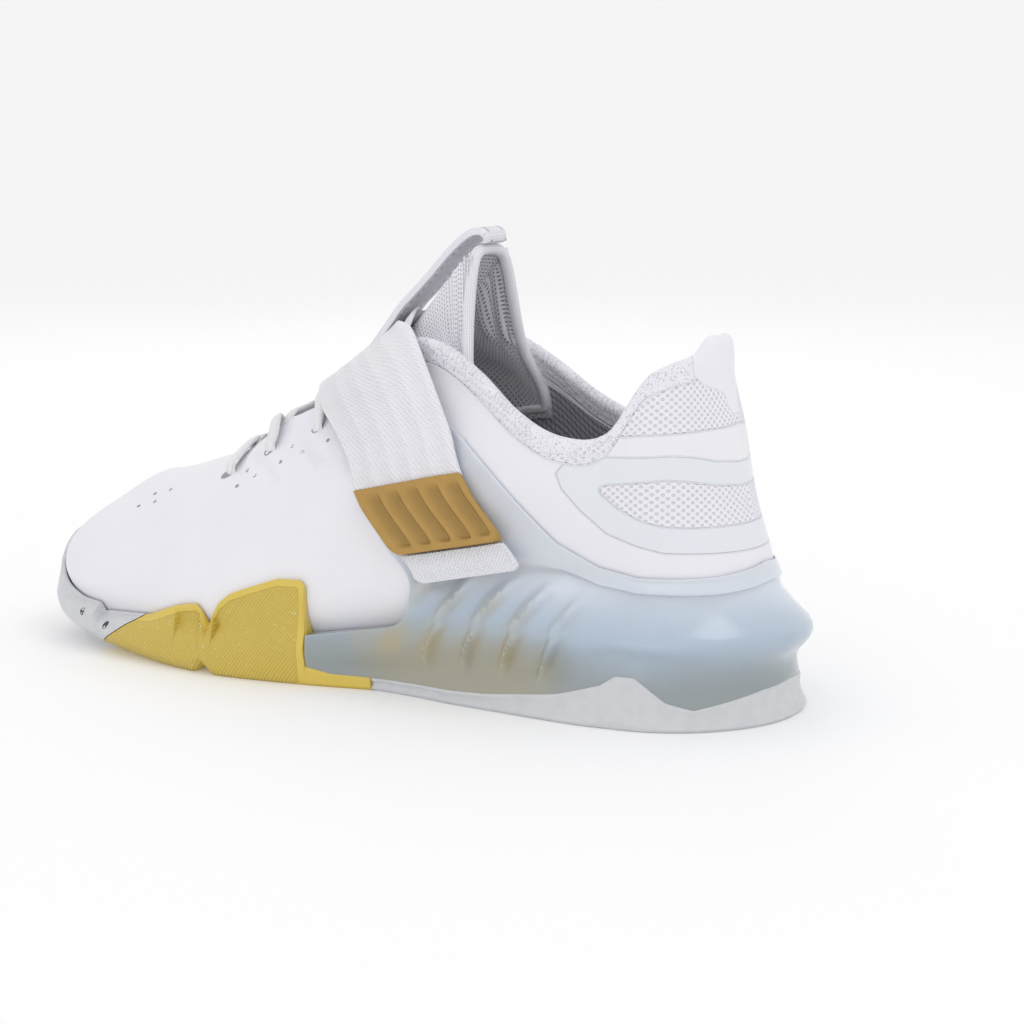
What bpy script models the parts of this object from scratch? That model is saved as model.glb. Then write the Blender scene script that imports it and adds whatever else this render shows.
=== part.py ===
# A left weightlifting shoe: a hollow upper on a raised heel, with a tongue, laces and an instep strap.
# The toe points along +X, the outer (lateral) side is +Y and up is +Z. The origin is on the floor under
# the middle of the heel. Sizes are in metres.
#
# Every form is drawn in upright planes, called rays, that go once round the shoe: they fan out round a
# point in the heel, run square to the spine of the foot, and fan out again round a point in the toe. In
# a ray a form is a chain of (reach, height) points, with reach measured outwards from the spine. A ray's
# place is a number that counts the rows of SECTIONS, so 9.5 is halfway between rows 9 and 10.

import math
from functools import lru_cache

import bmesh
import bpy
import numpy as np
from mathutils import Vector

MM = 0.001

# Sole
SOLE_LENGTH = 295 * MM
HEEL_BACK_REACH = 43 * MM  # heel centre to the back of the sole
TOE_FRONT_REACH = 43 * MM  # toe centre to the tip of the sole
HEEL_HALF_WIDTH = 46 * MM
BALL_HALF_WIDTH = 55 * MM
TOE_INSWING = 4 * MM  # how far the toe turns to the inner side
HEEL_STACK = 31 * MM  # floor to the bottom of the upper, under the heel
FOREFOOT_STACK = 11 * MM
TOE_SPRING = 7 * MM  # rise of the footbed from the ball to the tip
TOE_LIFT = 12 * MM  # rise of the tread from the ball to the tip
TREAD_THICKNESS = 2.6 * MM
TREAD_BEVEL = 1.2 * MM
LIP_WIDTH = 3.0 * MM  # of the tread's raised edge
CUP_WALL = 1.5 * MM  # of the sole where it wraps up round the upper
WING_HEIGHT = 36 * MM  # floor to the top of the forefoot tread's outer wing
BUMPER_HEIGHT = 38 * MM  # floor to the top of the toe bumper
GROOVE_DEPTH = 3.5 * MM
GROOVE_WIDTH = 9 * MM
RIB_DEPTH = 1.5 * MM
RIB_PITCH = 13 * MM
RIB_SLANT = 0.55
FLARE_HEIGHT = 26 * MM  # over which the sole's side runs in to the upper, at most
FLARE_LEAST = 12 * MM

# Upper
COLLAR_HEIGHT = 115 * MM  # floor to the collar's top
WALL = 2.2 * MM
COLLAR_BEAD = 5.6 * MM
GAP = 0.35 * MM  # between neighbouring pieces
CUP_CLEAR = 0.6 * MM  # between the upper and the cup round it

# Insole, tongue, laces and strap
INSOLE_THICKNESS = 4.5 * MM
TONGUE_THICKNESS = 5.0 * MM
TONGUE_CLEAR = 1.5 * MM  # between the tongue and the upper
PULL_TAB_WIDTH = 15 * MM
PULL_TAB_THICKNESS = 2.4 * MM
LACE_WIDTH = 5.5 * MM
LACE_THICKNESS = 1.8 * MM
LACE_LIFT = 1.6 * MM  # of a crossing over the one under it
STRAP_WIDTH = 42 * MM
STRAP_THICKNESS = 2.0 * MM
STRAP_END_THICKNESS = 3.2 * MM
STRAP_TIP_THICKNESS = 1.6 * MM
STRAP_STIFFNESS = 5 * MM  # half the width of a step that the strap bridges
CHANNEL_DEPTH = 1.2 * MM
CHANNELS = 4
RING_LENGTH = 13 * MM
RING_WIDTH = 9 * MM
RING_WIRE = 2.4 * MM
RING_BEHIND = 6.2 * MM  # from the strap's rear edge to the ring
RING_ANGLE = -34  # degrees from straight up
INSTEP_AXIS_UP = 0.35  # height of the line that the strap and laces go round, as a share of COLLAR_HEIGHT

TOE_CENTRE_X = SOLE_LENGTH - HEEL_BACK_REACH - TOE_FRONT_REACH
LATERAL, MEDIAL = 1, -1

# One row for each section, from the heel's back along a side to the toe's tip.
# along: share of the way from heel centre to toe centre. turn: the ray's direction in degrees, 180 is back.
# rim: height of the upper's edge as a share of COLLAR_HEIGHT.
# belly_up, flank_up, shoulder_up: heights as shares of the way from the upper's bottom to its edge.
SECTIONS = [
    # along, turn, rim, belly_up, flank_up, shoulder_up
    (0.00, 180, 1.010, 0.19, 0.45, 0.73),
    (0.00, 135, 0.990, 0.19, 0.45, 0.74),
    (0.00, 90, 0.940, 0.21, 0.50, 0.78),
    (0.06, 90, 0.775, 0.27, 0.48, 0.75),
    (0.13, 90, 0.755, 0.27, 0.50, 0.77),
    (0.21, 90, 0.810, 0.24, 0.49, 0.77),
    (0.30, 90, 0.925, 0.21, 0.43, 0.75),
    (0.37, 90, 0.990, 0.18, 0.41, 0.74),
    (0.44, 90, 0.990, 0.18, 0.40, 0.73),
    (0.52, 90, 0.880, 0.19, 0.42, 0.75),
    (0.62, 90, 0.800, 0.19, 0.42, 0.76),
    (0.72, 90, 0.720, 0.20, 0.42, 0.76),
    (0.81, 90, 0.625, 0.22, 0.45, 0.80),
    (0.88, 90, 0.585, 0.23, 0.46, 0.81),
    (1.00, 90, 0.526, 0.24, 0.48, 0.76),
    (1.00, 45, 0.526, 0.24, 0.46, 0.71),
    (1.00, 0, 0.526, 0.26, 0.46, 0.70),
]
# Reach of the upper's outer face, as shares of the sole's half width there.
UPPER_LATERAL = [
    # bottom, belly, flank, shoulder, edge
    (0.65, 0.69, 0.56, 0.46, 0.32),
    (0.64, 0.69, 0.57, 0.48, 0.35),
    (0.62, 0.68, 0.68, 0.64, 0.52),
    (0.62, 0.70, 0.71, 0.70, 0.62),
    (0.63, 0.73, 0.74, 0.73, 0.67),
    (0.64, 0.75, 0.75, 0.71, 0.63),
    (0.65, 0.77, 0.76, 0.68, 0.54),
    (0.68, 0.80, 0.78, 0.66, 0.48),
    (0.71, 0.84, 0.79, 0.62, 0.41),
    (0.77, 0.89, 0.82, 0.61, 0.35),
    (0.82, 0.95, 0.86, 0.59, 0.31),
    (0.86, 0.97, 0.87, 0.56, 0.25),
    (0.87, 0.96, 0.85, 0.53, 0.16),
    (0.85, 0.93, 0.81, 0.49, 0.00),
    (0.78, 0.85, 0.75, 0.44, 0.00),
    (0.80, 0.88, 0.80, 0.50, 0.00),
    (0.83, 0.92, 0.87, 0.58, 0.00),
]
UPPER_MEDIAL = [
    (0.65, 0.69, 0.56, 0.46, 0.32),
    (0.64, 0.69, 0.57, 0.48, 0.35),
    (0.60, 0.66, 0.66, 0.63, 0.52),
    (0.60, 0.68, 0.70, 0.69, 0.62),
    (0.59, 0.69, 0.72, 0.71, 0.66),
    (0.57, 0.69, 0.72, 0.69, 0.62),
    (0.54, 0.67, 0.71, 0.66, 0.54),
    (0.53, 0.66, 0.70, 0.62, 0.47),
    (0.54, 0.68, 0.69, 0.58, 0.40),
    (0.59, 0.74, 0.71, 0.56, 0.34),
    (0.69, 0.81, 0.75, 0.54, 0.29),
    (0.76, 0.87, 0.77, 0.51, 0.23),
    (0.78, 0.88, 0.77, 0.48, 0.14),
    (0.78, 0.86, 0.73, 0.46, 0.00),
    (0.74, 0.80, 0.69, 0.42, 0.00),
    (0.78, 0.86, 0.78, 0.50, 0.00),
    (0.83, 0.92, 0.87, 0.58, 0.00),
]
# Reach of the sole's side, as shares of its half width, and heights as shares of the stack.
SOLE_LATERAL = [
    # ground, lip, waist, ledge, waist_up, ledge_up
    (0.97, 0.92, 0.90, 1.05, 0.60, 0.93),
    (0.94, 0.90, 0.88, 1.00, 0.60, 0.93),
    (0.97, 0.95, 0.92, 0.98, 0.76, 0.95),
    (1.00, 0.97, 0.92, 0.97, 0.66, 0.95),
    (0.99, 0.97, 0.91, 0.95, 0.56, 0.97),
    (0.96, 0.95, 0.90, 0.94, 0.52, 1.00),
    (0.92, 0.92, 0.88, 0.93, 0.50, 1.00),
    (0.87, 0.87, 0.85, 0.91, 0.50, 1.00),
    (0.85, 0.85, 0.84, 0.90, 0.50, 0.95),
    (0.92, 0.93, 0.93, 0.95, 0.60, 1.00),
    (0.99, 1.01, 1.02, 1.02, 0.70, 1.10),
    (1.03, 1.05, 1.05, 1.04, 0.70, 1.10),
    (1.00, 1.03, 1.03, 1.02, 0.70, 1.10),
    (0.95, 0.99, 1.00, 0.99, 0.70, 1.10),
    (0.87, 0.91, 0.92, 0.92, 0.70, 1.10),
    (0.88, 0.93, 0.95, 0.95, 0.70, 1.10),
    (0.94, 0.99, 1.01, 1.01, 0.70, 1.10),
]
SOLE_MEDIAL = [
    (0.97, 0.92, 0.90, 1.05, 0.60, 0.93),
    (0.94, 0.90, 0.88, 1.00, 0.60, 0.93),
    (0.95, 0.93, 0.90, 0.96, 0.76, 0.95),
    (0.96, 0.93, 0.88, 0.93, 0.66, 0.95),
    (0.92, 0.90, 0.85, 0.90, 0.56, 0.97),
    (0.86, 0.85, 0.80, 0.86, 0.52, 1.00),
    (0.78, 0.78, 0.75, 0.82, 0.50, 1.00),
    (0.71, 0.71, 0.71, 0.78, 0.50, 1.00),
    (0.69, 0.69, 0.70, 0.76, 0.50, 0.95),
    (0.75, 0.76, 0.77, 0.80, 0.60, 1.00),
    (0.85, 0.87, 0.88, 0.88, 0.70, 1.10),
    (0.92, 0.94, 0.95, 0.94, 0.70, 1.10),
    (0.92, 0.95, 0.95, 0.95, 0.70, 1.10),
    (0.89, 0.92, 0.93, 0.92, 0.70, 1.10),
    (0.82, 0.86, 0.87, 0.87, 0.70, 1.10),
    (0.86, 0.91, 0.93, 0.93, 0.70, 1.10),
    (0.94, 0.99, 1.01, 1.01, 0.70, 1.10),
]
LAST = len(SECTIONS) - 1
TOE_FAN = 14  # place where the rays start to fan out round the toe
COLLAR_END = 8.0  # place where the padded collar ends and the throat starts
TREAD_SPLIT = 8.12  # place of the joint between heel tread and forefoot tread
WAIST_END = 9.4  # place of the joint between midsole and forefoot tread
JOINT = 0.02  # gap between pieces along the shoe, in places

# Top edge of the tread's lip under the midsole: place, share of HEEL_STACK
LIP = [(0, 0.37), (0.5, 0.34), (0.9, 0.27), (1.28, 0.20), (1.55, 0.28), (1.85, 0.53), (2.1, 0.53),
       (2.5, 0.42), (3.1, 0.34), (3.6, 0.27), (4, 0.24), (4.6, 0.20), (5.3, 0.15), (6, 0.13), (7, 0.125),
       (7.6, 0.12), (8.12, 0.12), (8.95, 0.14), (9.4, 0.20)]
# Top edge of the midsole's cup: place, share of COLLAR_HEIGHT
CUP_LATERAL = [(0, 0.43), (1, 0.41), (2, 0.405), (3, 0.425), (4, 0.485), (5, 0.605), (6, 0.75), (6.6, 0.81),
               (7.0, 0.83), (7.6, 0.82), (9.4, 0.70)]
CUP_MEDIAL = [(0, 0.43), (1, 0.41), (2, 0.405), (3, 0.41), (4, 0.43), (5, 0.46), (6, 0.46), (7, 0.40),
              (8, 0.26), (9.4, 0.17)]
# Front edge of the midsole's outer wing, from the top down: along, share of COLLAR_HEIGHT. The cup has
# nothing in front of it on that side.
WING_EDGE = [(0.43, 0.90), (0.46, 0.62), (0.467, 0.537), (0.424, 0.433), (0.387, 0.361), (0.379, 0.290),
             (0.384, 0.235), (0.411, 0.200), (0.478, 0.177), (0.560, 0.153)]
WING_END = 8.3  # place of the wing's foremost point
# Top edge of the forefoot tread's lobes: place, share of WING_HEIGHT
LOBES_LATERAL = [(9.4, 0.94), (9.5, 0.99), (9.9, 0.98), (10.45, 0.87),
                 (10.8, 0.79), (11.0, 0.70), (11.25, 0.52), (11.33, 0.47), (11.42, 0.60), (11.53, 0.66),
                 (11.8, 0.64), (12.2, 0.59), (13, 0.47), (14, 0.40)]
LOBES_MEDIAL = [(9.4, 0.46), (10, 0.55), (11, 0.56), (12, 0.52),
                (13, 0.46), (14, 0.40)]
# Top edge of the toe bumper: place, share of BUMPER_HEIGHT
BUMPER = [(14, 0.46), (14.33, 0.47), (14.67, 0.53), (15, 0.62), (15.3, 0.75), (15.6, 0.90), (16, 1.0)]
SEAM_ALONG = 0.947  # of the joint between forefoot tread and toe bumper
SEAM_UP = 0.28  # share of WING_HEIGHT
SEAM_LEAN = 60  # degrees from upright


def smooth(share):
    share = min(max(share, 0.0), 1.0)
    return share * share * (3 - 2 * share)


def between(a, b, share):
    return a + (b - a) * share


def curve_at(points, at):
    # The smooth curve through the points, at a place counted in points from the first
    points = np.asarray(points, float)
    start = int(min(max(math.floor(at), 0), len(points) - 2))
    t = at - start
    first, second = points[start], points[start + 1]
    before = points[start - 1] if start > 0 else 2 * first - second
    after = points[start + 2] if start + 2 < len(points) else 2 * second - first
    return 0.5 * (
        2 * first
        + (second - before) * t
        + (2 * before - 5 * first + 4 * second - after) * t * t
        + (3 * first - before - 3 * second + after) * t**3
    )


def run_on(own, other):
    # A side's rows with the other side's next rows at both ends, so that the sides run on smoothly
    return np.array([other[1], *own, other[-2]], float)


HEIGHT_ROWS = run_on([row[2:] for row in SECTIONS], [row[2:] for row in SECTIONS])
UPPER_ROWS = {LATERAL: run_on(UPPER_LATERAL, UPPER_MEDIAL), MEDIAL: run_on(UPPER_MEDIAL, UPPER_LATERAL)}
SOLE_ROWS = {LATERAL: run_on(SOLE_LATERAL, SOLE_MEDIAL), MEDIAL: run_on(SOLE_MEDIAL, SOLE_LATERAL)}


def along_at(k):
    return float(np.interp(k, range(LAST + 1), [row[0] for row in SECTIONS]))


def turn_at(k):
    return float(np.interp(k, range(LAST + 1), [row[1] for row in SECTIONS]))


def place_along(along):
    return float(np.interp(along, [row[0] for row in SECTIONS[2:15]], range(2, 15)))


def spine(along):
    return TOE_CENTRE_X * along, -TOE_INSWING * smooth((along - 0.3) / 0.7)


def half_width(k):
    turn = turn_at(k)
    if turn > 90:
        return between(HEEL_HALF_WIDTH, HEEL_BACK_REACH, (turn - 90) / 90)
    if turn < 90:
        return between(BALL_HALF_WIDTH, TOE_FRONT_REACH, (90 - turn) / 90)
    return between(HEEL_HALF_WIDTH, BALL_HALF_WIDTH, smooth(along_at(k)))


def place(side, k, reach, height):
    # The point of the shoe at this reach and height in a ray
    x, y = spine(along_at(k))
    turn = math.radians(turn_at(k))
    return x + reach * math.cos(turn), y + side * reach * math.sin(turn), height


def toe_share(x):
    # 0 up to the ball, and 1 at the tip of the sole
    ball_x = spine(0.75)[0]
    return max(0.0, (x - ball_x) / (TOE_CENTRE_X + TOE_FRONT_REACH - ball_x))


def footbed(x):
    drop = 1 - smooth(x / (0.68 * TOE_CENTRE_X))
    return FOREFOOT_STACK + (HEEL_STACK - FOREFOOT_STACK) * drop + TOE_SPRING * toe_share(x) ** 2


def tread(x):
    groove = max(0.0, 1 - abs(x - spine(0.755)[0]) / (GROOVE_WIDTH / 2))
    return TOE_LIFT * toe_share(x) ** 2 + GROOVE_DEPTH * groove


KNOT_STEPS = 10


@lru_cache(maxsize=None)
def profile(side, k):
    # The upper's outer face in a ray, from its bottom to its edge
    reach = curve_at(UPPER_ROWS[side], k + 1) * half_width(k)
    ups = curve_at(HEIGHT_ROWS, k + 1)[1:]
    rim = curve_at(HEIGHT_ROWS, min(k, TOE_FAN) + 1)[0]
    low = footbed(place(side, k, reach[0], 0)[0])
    top = rim * COLLAR_HEIGHT
    closed = k >= 12.9
    if closed:
        reach[-1] = 0.0
    heights = [low, *(low + up * (top - low) for up in ups), top]
    knots = np.stack([reach, heights], 1)
    straight = 2 * knots[4] - knots[3]
    crown = np.array([-knots[3][0], knots[3][1]])
    flat = smooth(1 - knots[4][0] / (0.3 * half_width(k)))
    knots = [2 * knots[0] - knots[1], *knots, straight + (crown - straight) * flat]
    return np.array([curve_at(knots, 1 + i / KNOT_STEPS) for i in range(4 * KNOT_STEPS + 1)]), closed


def normals(chain, level_end=False):
    # Outward unit normals of a chain in its ray
    step = np.gradient(chain, axis=0)
    step /= np.linalg.norm(step, axis=1)[:, None]
    out = np.stack([step[:, 1], -step[:, 0]], 1)
    if level_end:
        out[-1] = (0, 1)
    return out


def pushed(chain, out, level_end=False):
    return chain + normals(chain, level_end) * np.reshape(out, (-1, 1))


def lengths(chain):
    return np.concatenate([[0], np.cumsum(np.linalg.norm(np.diff(chain, axis=0), axis=1))])


def resampled(chain, at):
    run = lengths(chain)
    return np.stack([np.interp(at, run, chain[:, 0]), np.interp(at, run, chain[:, 1])], 1)


def up_to_height(chain, height, count):
    # count points of the chain, from its start to where it reaches this height
    run = lengths(chain)
    end = np.interp(height, chain[:, 1], run)
    return resampled(chain, np.linspace(0, end, count))


def point_at_height(chain, height):
    return up_to_height(chain, height, 2)[-1]


def table_at(rows, k):
    return float(np.interp(k, [row[0] for row in rows], [row[1] for row in rows]))


def material(name, colour, roughness, metallic=0.0, transmission=0.0):
    made = bpy.data.materials.new(name)
    made.use_nodes = True
    shader = made.node_tree.nodes["Principled BSDF"]
    shader.inputs["Base Color"].default_value = (*colour, 1.0)
    shader.inputs["Roughness"].default_value = roughness
    shader.inputs["Metallic"].default_value = metallic
    shader.inputs["Transmission Weight"].default_value = transmission
    made.diffuse_color = (*colour, 1.0)
    return made


def make_object(name, mesh_maker, finish):
    mesh = bpy.data.meshes.new(name)
    build = bmesh.new()
    mesh_maker(build)
    bmesh.ops.remove_doubles(build, verts=build.verts, dist=1e-6)
    bmesh.ops.dissolve_degenerate(build, edges=build.edges, dist=1e-7)
    bmesh.ops.triangulate(build, faces=build.faces)
    bmesh.ops.recalc_face_normals(build, faces=build.faces)
    if build.calc_volume(signed=True) < 0:
        bmesh.ops.reverse_faces(build, faces=build.faces)
    build.to_mesh(mesh)
    build.free()
    mesh.materials.append(finish)
    mesh.shade_smooth()
    mesh.set_sharp_from_angle(angle=math.radians(40))
    made = bpy.data.objects.new(name, mesh)
    bpy.context.scene.collection.objects.link(made)
    return made


def strip(build, first, second):
    for a, b, c, d in zip(first, first[1:], second[1:], second):
        build.faces.new((a, b, c, d))


def ring_solid(build, rays, ray_chain, capped):
    # Chains that start and end on the spine, joined one to the next. capped: the first and last chain lie
    # in one plane and that plane is closed; otherwise the last joins the first.
    chains = [[place(side, k, *point) for point in ray_chain(side, k)] for side, k in rays]
    rows = [[build.verts.new(point) for point in chain] for chain in chains]
    pairs = list(zip(range(len(rows)), range(1, len(rows))))
    if not capped:
        pairs.append((len(rows) - 1, 0))
    for i, j in pairs:
        first, second = rows[i], rows[j]
        strip(build, first[1:-1], second[1:-1])
        (side, start), (_, end) = rays[i], rays[j]
        low_k, high_k = min(start, end), max(start, end)
        passed = [n for n, (other, k) in enumerate(rays) if other != side and low_k < k < high_k]
        passed.sort(key=lambda n: rays[n][1], reverse=bool(start > end))
        low = [build.verts.new(chains[n][0]) for n in passed]
        high = [build.verts.new(chains[n][-1]) for n in passed]
        build.faces.new([first[0], *low, second[0], second[1], first[1]])
        build.faces.new([first[-2], second[-2], second[-1], *high[::-1], first[-1]])
    if capped:
        build.faces.new(rows[0] + rows[-1][::-1])


def loop_solid(build, loops):
    # Closed loops joined one to the next, with both ends closed
    rows = [[build.verts.new(point) for point in loop] for loop in loops]
    for first, second in zip(rows, rows[1:]):
        strip(build, first + first[:1], second + second[:1])
    build.faces.new(rows[0][::-1])
    build.faces.new(rows[-1])


def steps(*parts):
    # Places from each part's start to its end, in its number of steps
    places = []
    for start, end, count in parts:
        places.extend(np.linspace(start, end, count, endpoint=False))
    return [*places, parts[-1][1]]


# Upper
UPPER_PLACES = steps(
    (0, 2, 6), (2, 4, 5), (4, 8, 7), (8, 9, 2), (9, 12, 4), (12, 13, 3), (13, 14, 1), (14, 16, 6)
)
OUTER_POINTS = 10
CAP_POINTS = 2


def swells(k, run):
    # Extra thickness of each face at these distances from the bottom: the padded roll at the collar's edge
    most = (COLLAR_BEAD - WALL) / 2 * (1 - smooth((k - COLLAR_END + 0.4) / 0.8))
    return np.array([most * smooth(1 - (run[-1] - at) / (1.6 * COLLAR_BEAD)) for at in run])


def upper_ray(side, k):
    chain, closed = profile(side, k)
    run = np.linspace(0, lengths(chain)[-1], OUTER_POINTS)
    base = resampled(chain, run)
    out = normals(base, closed)
    thick = swells(k, run)[:, None]
    outer = base + out * thick
    inner = base - out * (WALL + thick)
    cap = []
    if not closed:
        middle = (outer[-1] + inner[-1]) / 2
        arm = outer[-1] - middle
        rise = np.array([-arm[1], arm[0]])
        if rise[1] < 0:
            rise = -rise
        for i in range(1, CAP_POINTS + 1):
            turn = math.pi * i / (CAP_POINTS + 1)
            cap.append(middle + arm * math.cos(turn) + rise * math.sin(turn))
    return [[place(side, k, *point) for point in part] for part in (outer, cap, inner)], closed


def upper_mesh(build):
    rays = [(LATERAL, k) for k in UPPER_PLACES] + [(MEDIAL, k) for k in UPPER_PLACES[::-1][1:-1]]
    made = []
    for side, k in rays:
        parts, closed = upper_ray(side, k)
        made.append(([[build.verts.new(p) for p in part] for part in parts], closed))
    for (one, one_closed), (two, two_closed) in zip(made, made[1:] + made[:1]):
        (outer_1, cap_1, inner_1), (outer_2, cap_2, inner_2) = one, two
        strip(build, outer_1, outer_2)
        strip(build, inner_2, inner_1)
        build.faces.new((outer_1[0], outer_2[0], inner_2[0], inner_1[0]))
        edge_1 = [outer_1[-1], *cap_1, inner_1[-1]]
        edge_2 = [outer_2[-1], *cap_2, inner_2[-1]]
        if not one_closed and not two_closed:
            strip(build, edge_1, edge_2)
        elif one_closed != two_closed:
            build.faces.new(edge_1 + edge_2[::-1])


# Sole
@lru_cache(maxsize=None)
def sole_side(side, k):
    # Reach and height of the ground edge, lip, waist and ledge of the sole's side
    *reach, waist_up, ledge_up = curve_at(SOLE_ROWS[side], k + 1)
    reach = np.array(reach) * half_width(k)
    low = [tread(place(side, k, r, 0)[0]) for r in reach]
    stack = footbed(place(side, k, reach[3], 0)[0]) - low[3]
    lip_up = table_at(LIP, k) * HEEL_STACK if k < WAIST_END else 0.35 * stack
    heights = [low[0], low[1] + lip_up, low[2] + waist_up * stack, low[3] + ledge_up * stack]
    return np.stack([reach, heights], 1)


def tray(side, k, reach):
    return tread(place(side, k, reach, 0)[0]) + TREAD_THICKNESS


def lip_height(side, k):
    reach, height = sole_side(side, k)[1]
    return max(height, tray(side, k, reach) + 0.3 * TREAD_THICKNESS)


HEEL_FAN = [0, 0.25, 0.5, 0.7, 0.9, 1.1, 1.28, 1.42, 1.55, 1.7, 1.85, 2]


def floor_points(side, k, end, count, height_at):
    # Points from the spine out to this reach, at heights that follow the place
    return [(r, height_at(place(side, k, r, 0)[0])) for r in np.linspace(0, end, count)]


def tray_ray(side, k):
    # The tread where the midsole lies on it
    ground, lip = sole_side(side, k)[:2]
    top = lip_height(side, k)
    inside = lip[0] - LIP_WIDTH
    bottom = floor_points(side, k, ground[0] - TREAD_BEVEL, 2, tread)
    outer = [(ground[0], ground[1] + TREAD_BEVEL), (lip[0], top)]
    inner = [(inside, top)]
    floor = floor_points(side, k, inside, 2, lambda x: tread(x) + TREAD_THICKNESS)[::-1]
    return bottom, outer, inner, floor


def heel_tread_mesh(build):
    places = HEEL_FAN + [k for k, _ in LIP if 2 < k <= TREAD_SPLIT]
    rays = [(LATERAL, k) for k in places[::-1]] + [(MEDIAL, k) for k in places[1:]]
    ring_solid(build, rays, lambda side, k: [p for part in tray_ray(side, k) for p in part], capped=True)


CUP_POINTS = 8
FRONT_CUP_POINTS = 6


def cup_inside(side, k, rim, count):
    # The cup's inner face: the upper's outer face with a gap, up to the rim
    chain, closed = profile(side, k)
    return up_to_height(pushed(chain, CUP_CLEAR, closed), rim, count)


def cup_rim(side, k):
    return table_at(CUP_LATERAL if side == LATERAL else CUP_MEDIAL, k) * COLLAR_HEIGHT


def midsole_side(side, k):
    # The midsole's outer side in a ray, from the tread's lip up to the cup's rim
    _, lip, waist, ledge = sole_side(side, k)
    rim = cup_rim(side, k)
    inside = cup_inside(side, k, rim, CUP_POINTS)
    rim_out = inside[-1] + normals(inside)[-1] * CUP_WALL
    low = ledge[1]
    knots = [(lip[0] - GAP, lip_height(side, k) + GAP), waist, ledge]
    if rim - low > FLARE_LEAST:
        face = pushed(profile(side, k)[0], CUP_CLEAR + CUP_WALL)
        flare = low + 0.62 * min(rim - low, FLARE_HEIGHT)
        knots.extend(point_at_height(face, between(flare, rim, share)) for share in (0, 1 / 3, 2 / 3))
    else:
        knots.extend(between(ledge, rim_out, share) for share in (1 / 4, 1 / 2, 3 / 4))
    knots.append(rim_out)
    side_points = [curve_at(knots, i / 2) for i in range(2 * len(knots) - 1)]
    if side == LATERAL:
        x = place(side, k, 0, 0)[0]
        for point in side_points[1:6]:
            point[0] += RIB_DEPTH * rib(x, point[1])
    return side_points


def midsole_ray(side, k):
    lip = sole_side(side, k)[1]
    inside = cup_inside(side, k, cup_rim(side, k), CUP_POINTS)
    step_in = lip[0] - LIP_WIDTH - GAP
    bottom = floor_points(side, k, step_in, 2, lambda x: tread(x) + TREAD_THICKNESS + GAP)
    floor = floor_points(side, k, inside[0][0], 2, lambda x: footbed(x) - GAP)[::-1]
    return [*bottom, (step_in, lip_height(side, k) + GAP), *midsole_side(side, k), *inside[::-1], *floor]


def rib(x, height):
    # Slanting ribs on the outer side of the arch
    start, end = spine(0.09)[0], spine(0.39)[0]
    fade = smooth((x - start) / RIB_PITCH) * smooth((end - x) / RIB_PITCH)
    return fade * math.sin(2 * math.pi * (x + RIB_SLANT * height) / RIB_PITCH)


def midsole_mesh(build):
    end = WAIST_END - 2 * JOINT
    lateral = HEEL_FAN + [2.1, 2.3, 2.5, 2.8] + steps((3.1, 7.1, 25)) + [7.6, 8.12, 8.5, 8.95, end]
    medial = HEEL_FAN + [2.1, 2.5, 3.1, 3.6, 4.6, 5.3, 6, 7, 7.6, 8.12, 8.5, 8.95, end]
    rays = [(LATERAL, k) for k in lateral[::-1]] + [(MEDIAL, k) for k in medial[1:]]
    ring_solid(build, rays, midsole_ray, capped=True)


def wing_cutter_mesh(build):
    # What lies in front of the wing's edge, on the outer side
    edge = [(spine(along)[0], up * COLLAR_HEIGHT) for along, up in WING_EDGE]
    front = spine(0.7)[0]
    outline = [*edge, (front, edge[-1][1]), (front, edge[0][1])]
    sides = (0.1 * BALL_HALF_WIDTH, 1.5 * BALL_HALF_WIDTH)
    loop_solid(build, [[(x, y, z) for x, z in outline] for y in sides])


def make_midsole(finish):
    midsole = make_object("midsole", midsole_mesh, finish)
    cutter = make_object("wing_cutter", wing_cutter_mesh, finish)
    cutter.hide_render = True
    cutter.display_type = "WIRE"
    cut = midsole.modifiers.new("wing edge", "BOOLEAN")
    cut.operation = "DIFFERENCE"
    cut.object = cutter


def front_ray(side, k):
    # The tread's front part: under the midsole's end it is a tray, and from there on it cups the upper
    if k < WAIST_END:
        bottom, outer, inner, floor = tray_ray(side, k)
        outer = np.linspace(outer[0], outer[1], 6)
        inner = np.linspace(inner[0], floor[0], FRONT_CUP_POINTS + 1)[:-1]
        return [*bottom, *outer, *inner, *floor]
    ground, lip, waist, ledge = sole_side(side, k)
    if k <= 14:
        rim = table_at(LOBES_LATERAL if side == LATERAL else LOBES_MEDIAL, k) * WING_HEIGHT
    else:
        rim = table_at(BUMPER, k) * BUMPER_HEIGHT
    inside = cup_inside(side, k, rim, FRONT_CUP_POINTS)
    rim_out = inside[-1] + normals(inside)[-1] * CUP_WALL
    low = np.array([ground[0], ground[1] + TREAD_BEVEL])
    knots = [low]
    for knot in (lip, waist, ledge):
        if knot[1] < rim - 2 * MM:
            knots.append(knot)
    if rim > ledge[1] + 10 * MM:
        face = pushed(profile(side, k)[0], CUP_CLEAR + CUP_WALL)
        knots.append(point_at_height(face, (rim + ledge[1]) / 2))
    knots.append(rim_out)
    outer = [curve_at(knots, (len(knots) - 1) * i / 5) for i in range(6)]
    bottom = floor_points(side, k, ground[0] - TREAD_BEVEL, 2, tread)
    floor = floor_points(side, k, inside[0][0], 2, lambda x: footbed(x) - GAP)[::-1]
    return [*bottom, *outer, *inside[::-1], *floor]


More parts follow.
